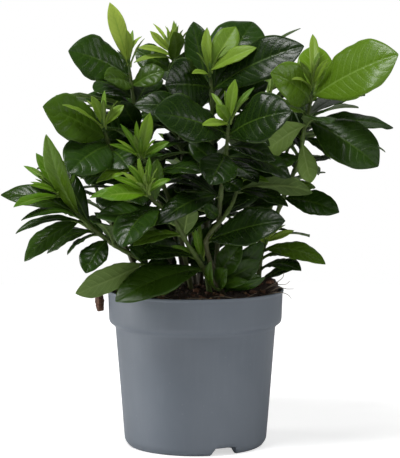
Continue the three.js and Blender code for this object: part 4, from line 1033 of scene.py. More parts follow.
class Growth:
    """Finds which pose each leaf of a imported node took."""

    near = 0.05  # millimetres between a leaf's point and the node's

    def __init__(self, node: str) -> None:
        """Sorts the node's points so that the nearest one is quickly found.

        Args:
            node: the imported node's name.
        """
        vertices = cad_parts[node].data.vertices
        points = np.zeros(len(vertices) * 3, np.float32)
        vertices.foreach_get("co", points)
        self.tree = KDTree(len(vertices))
        for index, point in enumerate(points.reshape(-1, 3) / MM):
            self.tree.insert(Vector(point), index)
        self.tree.balance()

    def settle(self, leaf: Leaf, poses: Sequence[Vec3]) -> list[Leaf]:
        """The leaf in the pose that the node holds.

        Args:
            leaf: the leaf as its row or rule gives it.
            poses: the turns that it may have taken.

        Returns:
            The turned leaf, or an empty list where the leaf didn't grow.
        """
        for pose in poses:
            candidate = leaf.turned(pose)
            long = np.linalg.norm(candidate.tip - candidate.base) > FORM.long
            row = np.array([FORM.last_long_row if long else FORM.last_row])
            margins, _, _ = Blades([candidate]).surface(row, np.array([-1.0, 1.0]))
            ends = [candidate.tip, *margins[0, 0]]
            if all(self.tree.find(Vector(end))[2] < self.near for end in ends):
                return [candidate]
        return []

    def settle_all(self, leaves: Sequence[Leaf], poses: Sequence[Vec3]) -> list[Leaf]:
        """Every leaf that grew, in its pose."""
        return [found for leaf in leaves for found in self.settle(leaf, poses)]


# ---- wood and leafy stems


@dataclass(frozen=True)
class Wood:
    """Sizes of the stems' wood."""

    foot: float = 99.0  # height of the buried end
    base_radius: float = 2.0
    tip_radius: float = 1.15
    gap: float = 0.35  # between a stem's end and its young shoot
    sides: int = 14
    steps: int = 9  # fine stretches in each stretch of the middle line
    collar: float = 0.3  # how much a stem swells at a leaf's root
    collar_reach: float = 1.7

    def middle_line(self, route: Sequence[Vec3]) -> Array:
        """The route with a point more between each two, and straight down from the first.

        Args:
            route: points from the soil to the cut end.

        Returns:
            (2n, 3) points: each new one is nine parts of its neighbours less one of the next on each side.
        """
        points = np.array(route, float)
        before = np.concatenate([points[:1], points[:-2]])
        after = np.concatenate([points[2:], points[-1:]])
        middles = (9 * points[:-1] + 9 * points[1:] - before - after) / 16
        line = np.empty((2 * len(points), 3))
        line[1::2] = points
        line[2::2] = middles
        line[0] = [*points[0, :2], self.foot]
        return line


WOOD = Wood()


@dataclass(frozen=True)
class FillRule:
    """How the leaves by rule stand on every stem."""

    jitter: float = 23.0  # degrees either way
    rise: tuple[float, float] = (8, 46)
    length: tuple[float, float] = (0.85, 1.12)  # shares of the fill's reach
    slimness: float = 0.43
    outwards: float = 0.3  # how far the upper face looks out, beside 1 upwards
    arch: float = 0.09
    lightest: float = 0.1


FILL = FillRule()


class LeafyStem:
    """One stem: the wood, its grown leaves and the place of its young shoot."""

    def __init__(self, name: str, plan: StemPlan) -> None:
        """Lays the middle line and settles the leaves.

        Args:
            name: the stem's own name.
            plan: its route and its rules.
        """
        self.name, self.plan, self.node = name, plan, "stem_" + name
        self.line = WOOD.middle_line(plan.route)
        self.end = self.line[-1]
        self.end_along = unit(self.line[-1] - self.line[-2])
        growth = Growth(self.node)
        own = [Leaf.of_row(row, self.at(row.at)[0]) for row in LEAVES[name]]
        self.leaves = growth.settle_all(own, POSES[:HAND_POSES])
        self.inner = growth.settle_all(self.fill_leaves(), POSES)
        self.further: list[Leaf] = []
        wanted, found = len(own) + plan.fill.count, len(self.leaves) + len(self.inner)
        log.info("stem_%s carries %d of %d leaves", name, found, wanted)

    def at(self, height: float) -> tuple[Array, float, Array]:
        """Where the middle line is at a height.

        Args:
            height: from the ground.

        Returns:
            Its point, the share of the line's points below it, and the line's unit direction there.
        """
        above = int(np.argmax(self.line[:, 2] >= height))
        low, high = self.line[above - 1], self.line[above]
        part = (height - low[2]) / (high[2] - low[2])
        share = (above - 1 + part) / (len(self.line) - 1)
        return low + (high - low) * part, share, unit(high - low)

    def fill_leaves(self) -> list[Leaf]:
        """The leaves by rule: pairs, each turned a quarter from the pair below, higher ones more upright.

        Returns:
            The leaves, lowest first.
        """
        fill, rule = self.plan.fill, FILL
        leaves = []
        for i in range(fill.count):
            share = (i + 0.5) / fill.count
            point, _, _ = self.at(between(fill.low, fill.high, share))
            jitter = between(-rule.jitter, rule.jitter, draw(i, fill.first_turn))
            turn = fill.first_turn + 90 * (i // 2) + 180 * (i % 2) + jitter
            out, way = ways_out(turn, between(*rule.rise, share * draw(i, fill.first_turn + 1)))
            length = fill.reach * between(*rule.length, draw(i, fill.first_turn + 2))
            tip, faces = point + length * way, rule.outwards * out + UP
            tone = rule.lightest * draw(i, fill.low)
            leaves.append(Leaf.of(point, tip, rule.slimness * length, faces, rule.arch, tone))
        return leaves

    def thicken(self, crown: Crown) -> None:
        """Grows the further leaves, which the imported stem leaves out: those of the table, then by rule.

        The leaves by rule go round by the golden turn and up the stem. Each takes the first clear pose
        that stays inside the crown, or tries again a little further round.

        Args:
            crown: the space that the plant takes.
        """
        rule = THICKET
        for row in FURTHER_LEAVES.get(self.name, []):
            leaf = Leaf.of_row(row, self.at(row.at)[0])
            self.further += crown.grow(leaf, POSES, rule.clear_from, inside=False)
        top = self.end[2] - rule.below_end
        for i in range(rule.leaves):
            base, _, _ = self.at(between(rule.low, top, (i + 0.5) / rule.leaves))
            for attempt in range(rule.attempts):
                mark = i * rule.attempts + attempt + self.plan.fill.first_turn
                turn = GOLDEN_TURN * i + rule.spin * attempt + self.plan.fill.first_turn
                _, way = ways_out(turn, between(*rule.rise, draw(mark, 21)))
                length = between(*rule.length, draw(mark, 22))
                faces = 0.6 * UP + unit((base - rule.core) * rule.level)
                tone = between(*rule.tones, draw(mark, 23))
                leaf = Leaf.of(base, base + length * way, rule.slimness * length, faces, rule.arch, tone)
                grown = crown.grow(leaf, POSES[:rule.poses], rule.clear_from, inside=True)
                self.further += grown
                if grown:
                    break
        log.info("stem_%s has %d further leaves", self.name, len(self.further))

    def wood(self) -> Shape:
        """The wood: a tapered tube that swells like a bell at each leaf's root.

        Returns:
            The tube, with the share along it and one draw as its values.
        """
        path = smooth_line(self.line, WOOD.steps)
        path = np.concatenate([path, path[-1:] + self.end_along * WOOD.gap])
        share = np.linspace(0, 1, len(path))
        roots = np.stack([leaf.base for leaf in self.leaves + self.inner])
        near = np.linalg.norm(path[:, None] - roots[None], axis=-1)
        collar = np.exp(-((near / WOOD.collar_reach) ** 2)).max(axis=1)
        uneven = 0.05 * np.sin(share * 61 + self.end[0]) + 0.04 * np.sin(share * 143 + self.end[1])
        radii = between(WOOD.base_radius, WOOD.tip_radius, share) * (1 + WOOD.collar * collar + uneven)
        green = np.clip(share + GREEN_STEMS.get(self.name, 0.0), 0, 1)
        values = {"share": green, "seed": draw(self.end[0], 3)}
        return tube(path, radii, WOOD.sides, finish=2, values=values)

    def shapes(self) -> list[Shape]:
        """The wood and the leaves so far."""
        inner, further = (self.inner, BladeLooks.INNER), (self.further, BladeLooks.FURTHER)
        return [self.wood(), *dressed((self.leaves, BladeLooks.GROWN), inner, further)]

    def build(self, finishes: "Finishes") -> Piece:
        """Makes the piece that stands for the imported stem."""
        materials = [finishes.grown_upper, finishes.grown_under, finishes.wood]
        return Shape.join(self.shapes()).piece("leafy_" + self.node, "grown_leaf", self.node, materials)


@dataclass(frozen=True)
class Thicket:
    """The rule for the leaves that thicken the crown."""

    leaves: int = 16  # tried on each stem
    attempts: int = 16
    spin: float = 47.0  # degrees between two attempts
    low: float = 128.0  # the lowest node
    below_end: float = 22.0
    poses: int = 5  # only the smallest turns
    rise: tuple[float, float] = (-12, 42)
    length: tuple[float, float] = (26, 52)
    slimness: float = 0.5
    arch: float = 0.09
    # all below 0: these inner leaves are darkened as painted shade
    tones: tuple[float, float] = (-0.9, -0.1)
    core: Vec3 = (0, 45, 0)  # the leaves look away from this upright
    level: Vec3 = (0.5, 1, 0)
    clear_from: float = 0.24  # share of a leaf, at its stalk, that may touch its neighbours


THICKET = Thicket()


@dataclass(frozen=True)
class ShootSizes:
    """Sizes of a young shoot's stem and of the folded bud that ends it."""

    radius: float = 1.05
    tip_share: float = 0.7
    sunk: float = 0.5  # how far it starts inside the stem's end
    bud_length: float = 5.0
    bud_radius: float = 1.15
    rings: int = 22
    sides: int = 10


SHOOT = ShootSizes()


@dataclass(frozen=True)
class Tuft:
    """The rule for the leaflets round a shoot's bud."""

    leaflets: tuple[int, float] = (4, 0.75)  # how many and the lightest tone, where TUFTS doesn't say
    upright: float = 0.7  # how far a tuft turns from its shoot's own way to upright
    lean: tuple[float, float] = (6, 30)  # degrees off the tuft's way
    length: tuple[float, float] = (14, 27)
    slimness: float = 0.14
    clear_from: float = 0.75  # share of a leaflet that may touch its neighbours


TUFT = Tuft()


class YoungShoot:
    """One young shoot: a short green stem, its narrow leaves and its bud."""

    def __init__(self, name: str, start: Array, along: Array, length: float) -> None:
        """Settles the shoot's leaves.

        Args:
            name: the shoot's own name.
            start: where its stem starts.
            along: the unit way that it runs.
            length: how long its stem is.
        """
        self.name, self.node = name, "shoot_" + name
        self.start, self.along, self.length = start, along, length
        leaves = [Leaf.of_row(row, start + along * length * row.at) for row in YOUNG_LEAVES[name]]
        self.leaves = Growth(self.node).settle_all(leaves, POSES)
        self.further: list[Leaf] = []
        log.info("shoot_%s carries %d of %d leaves", name, len(self.leaves), len(leaves))

    @staticmethod
    def at_end(stem: LeafyStem) -> "YoungShoot":
        """The shoot at the end of a stem."""
        start = stem.end + stem.end_along * WOOD.gap
        return YoungShoot(stem.name, start, stem.end_along, stem.plan.shoot_length)

    @staticmethod
    def at_side(name: str, plan: SideShootPlan, stem: LeafyStem) -> "YoungShoot":
        """The shoot at a bud on the side of a stem, clear of the wood by the gap.

        Args:
            name: the shoot's own name.
            plan: where it stands and how it runs.
            stem: the stem that bears it.

        Returns:
            The shoot.
        """
        point, share, grain = stem.at(plan.height)
        along = unit(np.array(plan.out))
        lean = float(along @ grain)
        away = unit(along - grain * lean)
        gap = between(WOOD.base_radius, WOOD.tip_radius, share) + WOOD.gap + SHOOT.radius * abs(lean)
        return YoungShoot(name, point + away * gap, along, plan.length)

    def thicken(self, crown: Crown) -> None:
        """Grows a tuft of narrow leaflets round the bud, each in its first clear pose.

        Args:
            crown: the space that the plant takes.
        """
        along = unit(self.along + TUFT.upright * UP)
        side = unit(np.cross(along, np.array([0.3, 1.0, 0.1])))
        front = np.cross(side, along)
        count, lightest = TUFTS.get(self.name, TUFT.leaflets)
        for i in range(count):
            turn = math.radians(GOLDEN_TURN * i + 40)
            out = side * math.cos(turn) + front * math.sin(turn)
            lean = math.radians(between(*TUFT.lean, draw(i, 31)))
            length = between(*TUFT.length, draw(i, 32))
            base = self.start + self.along * self.length * between(0.35, 1.0, i / count)
            tip = base + length * (along * math.cos(lean) + out * math.sin(lean))
            width = TUFT.slimness * length
            tone = lightest * between(0.13, 1.0, draw(i, 33))
            leaf = Leaf.of(base, tip, width, along - 1.2 * out, 0.03, tone)
            self.further += crown.grow(leaf, POSES, TUFT.clear_from, inside=False)
        log.info("shoot_%s has %d further leaflets", self.name, len(self.further))

    def stem_and_bud(self) -> Shape:
        """The short stem, which narrows and then ends in a bud: a half sine's swelling, sharpened.

        Returns:
            The tube.
        """
        share = np.linspace(0, 1, SHOOT.rings)
        reach = share * (self.length + SHOOT.sunk + SHOOT.bud_length) - SHOOT.sunk
        path = self.start + self.along * reach[:, None]
        stem = between(SHOOT.radius, SHOOT.radius * SHOOT.tip_share, np.clip(reach / self.length, 0, 1))
        past = np.clip((reach - self.length) / SHOOT.bud_length, 0, 1)
        bud = SHOOT.bud_radius * np.sin(math.pi * (0.25 + 0.74 * past)) ** 0.9
        radii = np.where(past > 0, bud, stem)
        return tube(path, radii, SHOOT.sides, finish=2, values={"share": share, "seed": 0.5})

    def shapes(self) -> list[Shape]:
        """The stem with its bud, and the leaves so far."""
        groups = (self.leaves, BladeLooks.YOUNG), (self.further, BladeLooks.LEAFLET)
        return [self.stem_and_bud(), *dressed(*groups)]

    def build(self, finishes: "Finishes") -> Piece:
        """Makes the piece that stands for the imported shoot."""
        materials = [finishes.young_upper, finishes.young_under, finishes.green_stem]
        return Shape.join(self.shapes()).piece("leafy_" + self.node, "young_leaf", self.node, materials)


# ---- pot


@dataclass(frozen=True)
class Corner:
    """A corner of a turned outline: its radius and height, and how far its rounding reaches."""

    radius: float
    z: float
    rounding: float = 0.0


@dataclass(frozen=True)
class Pot:
    """The nursery pot: a turned shell with a banded rim, and drain notches in its foot."""

    sectors: int = 288
    height: float = 115.0
    rim_radius: float = 65.0
    wall: float = 1.6
    band_bottom: float = 91.5
    band_radius: float = 63.4
    step_bottom: float = 87.5
    step_radius: float = 58.9
    body_radius: float = 52.4
    foot_radius: float = 49.5
    floor: float = 7.5
    notch_width: float = 22.0
    notch_top: float = 6.0
    notch_slope: float = 4.0
    notch_from_radius: float = 43.5
    first_notch: float = -65.0  # degrees from +X
    notches: int = 3
    slow_wave: float = 0.12  # unevenness of the wall: three waves round it, then seven
    quick_wave: float = 0.06
    longest: float = 3.0  # longest stretch of the fine outline

    def corners(self) -> list[Corner]:
        """The outline, from the pad in the middle of the foot, up outside, over the lip and down inside.

        Returns:
            The corners in that order.
        """
        return [
            Corner(12, 0),
            Corner(13, 3.4, 0.4),
            Corner(45.1, 3.4, 0.4),
            Corner(46.1, 0, 0.5),
            Corner(self.foot_radius, 0, 1.3),
            Corner(self.body_radius, 4, 2.0),
            Corner(self.step_radius - 0.05, self.step_bottom - 0.6, 0.5),
            Corner(self.step_radius + 0.5, self.step_bottom + 0.9, 0.8),
            Corner(self.band_radius - 0.3, self.band_bottom - 0.2, 1.6),
            Corner(self.band_radius + 0.15, self.band_bottom + 2.2, 1.5),
            Corner(64.2, self.height - 2.2, 0.6),
            Corner(self.rim_radius, self.height - 1.5, 0.5),
            Corner(self.rim_radius, self.height, 0.7),
            Corner(self.rim_radius - self.wall, self.height, 0.6),
            Corner(self.band_radius - self.wall, self.band_bottom + 1, 2.0),
            Corner(self.step_radius - self.wall, self.step_bottom + 1, 2.0),
            Corner(self.body_radius - self.wall, self.floor, 2.0),
            Corner(20, self.floor),
        ]

    def outline(self) -> Array:
        """The outline with each corner drawn as a parabola that starts and ends on its two sides.

        Returns:
            (n, 2) radii and heights.
        """
        corners = self.corners()
        points = np.array([[corner.radius, corner.z] for corner in corners])
        inner = points[1:-1]
        back, ahead = points[:-2] - inner, points[2:] - inner
        sizes = np.array([corner.rounding for corner in corners[1:-1]])
        room = 0.45 * np.minimum(np.linalg.norm(back, axis=1), np.linalg.norm(ahead, axis=1))
        reach = np.minimum(sizes, room)[:, None, None]
        t = np.linspace(0, 1, 6)[None, :, None]
        start = inner[:, None] + unit(back)[:, None] * reach
        end = inner[:, None] + unit(ahead)[:, None] * reach
        arcs = (1 - t) ** 2 * start + 2 * t * (1 - t) * inner[:, None] + t**2 * end
        return np.concatenate([points[:1], arcs.reshape(-1, 2), points[-1:]])

    def refined(self, outline: Array, step: float) -> Array:
        """The outline with no stretch longer than a step, so that the wall can carry its slow waves.

        Args:
            outline: (n, 2) radii and heights.
            step: the longest stretch.

        Returns:
            The finer outline.
        """
        spans = np.linalg.norm(np.diff(outline, axis=0), axis=1)
        parts = np.maximum(1, np.ceil(spans / step).astype(int))
        marks = np.concatenate([corner + np.arange(n) / n for corner, n in enumerate(parts)] + [[len(parts)]])
        return np.stack([np.interp(marks, np.arange(len(outline)), line) for line in outline.T], axis=1)

    def build(self, finishes: "Finishes") -> Piece:
        """Turns the outline round the axis, lifts the notches and makes the piece.

        The wall's radius has a slight slow wave round the pot. In a notch the foot's underside is lifted to
        the notch's top, with a smooth step at each end.

        Args:
            finishes: the plant's materials.

        Returns:
            The piece.
        """
        outline = self.refined(self.outline(), self.longest)
        angle = np.linspace(0, 2 * math.pi, self.sectors, endpoint=False)
        radius, z = outline[:, :1], outline[:, 1:] * np.ones_like(angle)
        uneven = self.slow_wave * np.sin(3 * angle + 0.7) * ramp(z, 6, 50)
        uneven = uneven + self.quick_wave * np.sin(7 * angle + z * 0.05)
        lateral = radius + uneven * ramp(radius, 44, 50) * ramp(self.height - z, 0, 12)
        turn = 360 / self.notches
        off = (np.degrees(angle) - self.first_notch + turn / 2) % turn - turn / 2
        across = np.abs(np.radians(off)) * self.foot_radius
        half = self.notch_width / 2
        lift = self.notch_top * (1 - ramp(across, half - self.notch_slope, half))
        lifted = np.where(radius > self.notch_from_radius, np.maximum(z, lift), z)
        z = np.where(z < self.notch_top, lifted, z)
        points = np.stack([lateral * np.cos(angle), lateral * np.sin(angle), z], axis=-1).reshape(-1, 3)
        shape = Shape(points, closed_rings(len(outline), self.sectors))
        return shape.piece("nursery_pot", "pot_plastic", "pot", [finishes.plastic])


# ---- soil and bark


@dataclass(frozen=True)
class Lump:
    """How crumbs of one kind are strewn: how many, their size range in mm, flatness and finish."""

    count: int
    small: float
    large: float
    flatness: float
    finish: int
    series: float


@dataclass(frozen=True)
class Soil:
    """Potting soil: a rough surface with a heap, crumbs, bark chips and a few fine roots."""

    rim_radius: float = 65.0
    edge: float = 112.5  # height of the surface at the wall
    crown: float = 3.0  # how much higher its middle is
    roughness: float = 0.9
    heap_at: tuple[float, float] = (53.0, -10.0)
    heap_rise: float = 10.5
    heap_spread: float = 13.0
    wall_rings: tuple[tuple[float, float], ...] = ((48.0, 7.9), (56.0, 88.5), (60.9, 94.5))  # radius, height
    sectors: int = 240
    rings: int = 74
    strewn_radius: float = 59.0
    strewn_turn: float = 2.39996  # radians from one crumb to the next
    chips: int = 7
    chip_size: Vec3 = (8.0, 4.6, 2.6)
    squareness: float = 0.55  # of a block, where 1 is a cube and 0 a ball
    dents: tuple[float, float] = (0.16, 0.12)  # shares of a block's size
    root_radii: tuple[float, float] = (0.38, 0.14)
    lumps: tuple[Lump, ...] = (
        Lump(520, 0.7, 2.6, 0.75, 0, 11),
        Lump(170, 1.4, 4.2, 0.5, 1, 12),
        Lump(60, 1.6, 3.6, 0.45, 2, 13),
    )
    roots: tuple[tuple[Vec3, ...], ...] = (
        ((54, -27, 116), (60, -30, 119.5), (66, -31, 118.6), (71, -33, 118.9)),
        ((53, -29, 115), (61, -34, 116.5), (66.5, -36, 115), (69, -37, 112)),
        ((52, -20, 118), (60, -22, 123), (63.5, -24, 126.5), (63.8, -24, 130)),
        ((50, -22, 117), (58, -27, 121), (65, -28, 121.5), (68, -29, 124)),
        ((-20, -58, 112.6), (0, -54, 114.8), (20, -57, 113.2), (34, -50, 114)),
        ((10, -44, 114), (20, -52, 115.6), (33, -52, 114.2), (44, -42, 117)),
        ((-44, -30, 114), (-36, -44, 114.6), (-24, -48, 115.4), (-12, -56, 113)),
    )

    def height(self, x: Array, y: Array) -> Array:
        """The surface's height: a crown, a bell-shaped heap and two crossed sines.

        Args:
            x: places along X.
            y: places along Y.

        Returns:
            A height for each place.
        """
        out = np.hypot(x, y) / self.rim_radius
        away = np.hypot(x - self.heap_at[0], y - self.heap_at[1]) / self.heap_spread
        bumps = np.sin(x * 0.31 + 1) * np.cos(y * 0.27) + 0.6 * np.sin(x * 0.7 - y * 0.55)
        heap = self.heap_rise * np.exp(-away * away)
        return self.edge + self.crown * (1 - out * out) + heap + self.roughness * bumps

    def crumbled(self, x: Array, y: Array) -> Array:
        """Fine crumbs on the surface: folded sines at four scales, each turned from the last.

        Args:
            x: places along X.
            y: places along Y.

        Returns:
            How far each place is raised.
        """
        total = np.zeros_like(x)
        for octave in range(4):
            pitch, turn = 0.9 * 1.9**octave, 0.8 * octave
            a = x * math.cos(turn) + y * math.sin(turn)
            b = y * math.cos(turn) - x * math.sin(turn)
            waves = np.sin(pitch * a + 1.7 * np.sin(0.6 * pitch * b))
            waves = waves * np.sin(pitch * b + 1.3 * np.sin(0.7 * pitch * a))
            total += (0.9 / 1.7**octave) * (1 - 2 * np.abs(waves))
        return 0.55 * total

    def ball(self) -> Shape:
        """The soil's body: rings up the pot's wall and on over the surface, closed at both middles.

        Returns:
            The closed body.
        """
        angle = np.linspace(0, 2 * math.pi, self.sectors, endpoint=False)
        wall = np.array(self.wall_rings)
        surface = np.linspace(self.wall_rings[-1][0], 0.5, self.rings)
        radius = np.concatenate([wall[:, 0], surface])[:, None] * np.ones_like(angle)
        x, y = radius * np.cos(angle), radius * np.sin(angle)
        inside = 1 - ramp(radius, 59.4, self.wall_rings[-1][0])
        z = self.height(x, y) + self.crumbled(x, y) * inside
        z[: len(wall)] = wall[:, 1:]
        points = np.stack([x, y, z], axis=-1).reshape(-1, 3)
        return Shape(points, closed_rings(len(radius), self.sectors), values={"seed": 0.5})

    def pebbles(self, centres: Array, sizes: Array, turns: Array, finish: int) -> Shape:
        """Rounded, dented blocks, one for each centre.

        A block is a cube whose faces have four quads each. Its corners are drawn in towards a ball, and
        each point is pushed in or out by a sine of its place and of the block's own number.

        Args:
            centres: (n, 3) middles.
            sizes: (n, 3) full sizes.
            turns: (n, 3) angles about X, Y and Z in radians.
            finish: which finish they take.

        Returns:
            All the blocks.
        """
        points, quads = block_grid()
        ball = unit(points) * 1.2
        form = self.squareness * points + (1 - self.squareness) * ball
        number = np.arange(len(centres))[:, None, None]
        first = np.sin(9.1 * form.sum(axis=1)[None, :, None] + 2.3 * number)
        second = np.sin(7.3 * form[None, :, :1] - 5.7 * form[None, :, 1:2] + 1.1 * number)
        dents = 1 + self.dents[0] * first + self.dents[1] * second
        local = form[None] * dents * sizes[:, None] / 2
        for axis in range(3):
            a, b = (axis + 1) % 3, (axis + 2) % 3
            cosine, sine = np.cos(turns[:, axis, None]), np.sin(turns[:, axis, None])
            first = local[..., a] * cosine - local[..., b] * sine
            second = local[..., a] * sine + local[..., b] * cosine
            local[..., a], local[..., b] = first, second
        world = local + centres[:, None]
        starts = (np.arange(len(centres)) * len(points))[:, None, None]
        seed = np.repeat(draw(np.arange(len(centres)), finish + 5.0), len(points))
        flat = (quads[None] + starts).reshape(-1, 4)
        return Shape(world.reshape(-1, 3), flat, finish=finish, values={"seed": seed})

    def strewn(self, lump: Lump) -> Shape:
        """Crumbs spread evenly over the surface by the golden turn, each shifted by its own draws.

        Args:
            lump: the kind of crumb.

        Returns:
            All the crumbs of that kind.
        """
        number = np.arange(lump.count)
        radius = self.strewn_radius * np.sqrt((number + draw(number, lump.series)) / lump.count)
        angle = self.strewn_turn * number + draw(number, lump.series + 1)
        x, y = radius * np.cos(angle), radius * np.sin(angle)
        size = between(lump.small, lump.large, draw(number, lump.series + 2) ** 2)
        sizes = size[:, None] * np.array([1.0, 0.75, lump.flatness])
        z = self.height(x, y) + 0.35 * size
        tilts = [0.7 * (draw(number, lump.series + more) - 0.5) for more in (3, 4)]
        turns = np.stack([*tilts, 2 * math.pi * draw(number, lump.series + 5)], axis=1)
        return self.pebbles(np.stack([x, y, z], axis=1), sizes, turns, lump.finish)

    def bark_chips(self) -> Shape:
        """The larger chips of bark, where the packed soil has them.

        Returns:
            The chips.
        """
        number = np.arange(self.chips)
        radius = between(14, 54, np.sqrt((number + 0.5) / self.chips))
        angle = np.radians(GOLDEN_TURN * number)
        x, y = radius * np.cos(angle), radius * np.sin(angle)
        size = between(0.7, 1.15, draw(number, 1))
        z = self.height(x, y) + self.chip_size[2] * size * 0.16
        tilts = [between(-22, 22, draw(number, 2)), between(-16, 16, draw(number, 3))]
        turns = np.radians(np.stack([*tilts, 360 * draw(number, 4)], axis=1))
        return self.pebbles(np.stack([x, y, z], axis=1), size[:, None] * np.array(self.chip_size), turns, 1)

    def fine_roots(self) -> list[Shape]:
        """Thin pale roots that lie on the surface or stand out of the heap over the lip.

        Returns:
            A tube for each root.
        """
        shapes = []
        for route in self.roots:
            path = smooth_line(np.array(route, float), 8)
            radii = np.linspace(*self.root_radii, len(path))
            shapes.append(tube(path, radii, 6, finish=3, values={"seed": 0.4}))
        return shapes

    def build(self, finishes: "Finishes") -> Piece:
        """Makes the piece that stands for the packed soil."""
        shapes = [self.ball(), *map(self.strewn, self.lumps), self.bark_chips(), *self.fine_roots()]
        return Shape.join(shapes).piece("potting_soil", "soil", "soil", finishes.earths)


def block_grid() -> tuple[Array, Array]:
    """The surface of a cube from -1 to 1 with four quads on each face.

    Returns:
        (26, 3) points and (24, 4) quads that face outwards.
    """
    lattice = np.stack(np.meshgrid(*[np.arange(3)] * 3, indexing="ij"), axis=-1).reshape(-1, 3)
    outer = np.any(lattice != 1, axis=1)
    number = np.cumsum(outer) - 1
    first = np.array([(0, 0), (0, 1), (1, 0), (1, 1)])  # the lowest corner of each quad on a face
    quads = []
    for axis in range(3):
        for level in (0, 2):
            corners = []
            for step in ((0, 0), (1, 0), (1, 1), (0, 1)):
                place = np.full((4, 3), level)
                place[:, [(axis + 1) % 3, (axis + 2) % 3]] = first + step
                corners.append(number[place @ (9, 3, 1)])
            face = np.stack(corners, axis=1)
            quads.append(face if level == 2 else face[:, ::-1])
    return lattice[outer] - 1.0, np.concatenate(quads)


@dataclass(frozen=True)
class BarkStrip:
    """A strip of bark that lies on the soil and hangs over the lip."""

    route: tuple[Vec3, ...] = (
        (-51, -6, 115.4), (-59, -6, 117.8), (-66, -6, 119), (-70.4, -6, 114), (-71.8, -6, 107),
        (-71, -6, 99),
    )
    widths: tuple[float, ...] = (3, 3.5, 3, 5, 7.5, 6)
    depths: tuple[float, ...] = (1.2, 1.3, 1.5, 3, 5, 4)
    rows: int = 91
    columns: int = 19

    def build(self, finishes: "Finishes") -> Piece:
        """Carries a slightly hollow, fibrous section along the route and makes the piece.

        The half width follows the table with a jagged edge from two sines, and the faces carry ridges along
        the grain.

        Args:
            finishes: the plant's materials.

        Returns:
            The piece.
        """
        path = smooth_line(np.array(self.route, float), (self.rows - 1) // (len(self.route) - 1))
        share = np.linspace(0, 1, len(path))
        half = np.interp(share, np.linspace(0, 1, len(self.widths)), self.widths) / 2
        half = half * (1 + 0.12 * np.sin(share * 41) + 0.1 * np.sin(share * 97 + 2))
        half = half * (0.35 + 0.65 * ramp(share, 0, 0.06)) * (0.45 + 0.55 * ramp(1 - share, 0, 0.1))
        along = unit(np.gradient(path, axis=0))
        side = unit(np.cross(along, np.array([-0.9, -0.4, 0.2])))
        up = np.cross(side, along)
        v = np.linspace(-1, 1, self.columns)
        ridge = 0.22 * np.sin(v * 13 + 3 * np.sin(share * 9)[:, None]) + 0.12 * np.sin(share * 77)[:, None]
        centre = path[:, None] + side[:, None] * (v * half[:, None])[..., None]
        top = centre + up[:, None] * (0.5 * np.abs(v) + ridge * (1 - v**4))[..., None]
        thick = np.interp(share, np.linspace(0, 1, len(self.depths)), self.depths)[:, None]
        depth = thick * (1 - 0.6 * v**4) + 0.3 * ridge
        under = top - up[:, None] * depth[..., None]
        points, quads, _ = slabs(top[None], under[None])
        grid = np.stack(np.meshgrid(share, 0.5 + 0.5 * v, indexing="ij"), axis=-1).reshape(-1, 2)
        shape = Shape(points, quads, blade=np.tile(grid, (2, 1)), values={"seed": 0.3})
        return shape.piece("hanging_bark", "bark", "bark_strip", [finishes.bark])


# ---- shader nodes


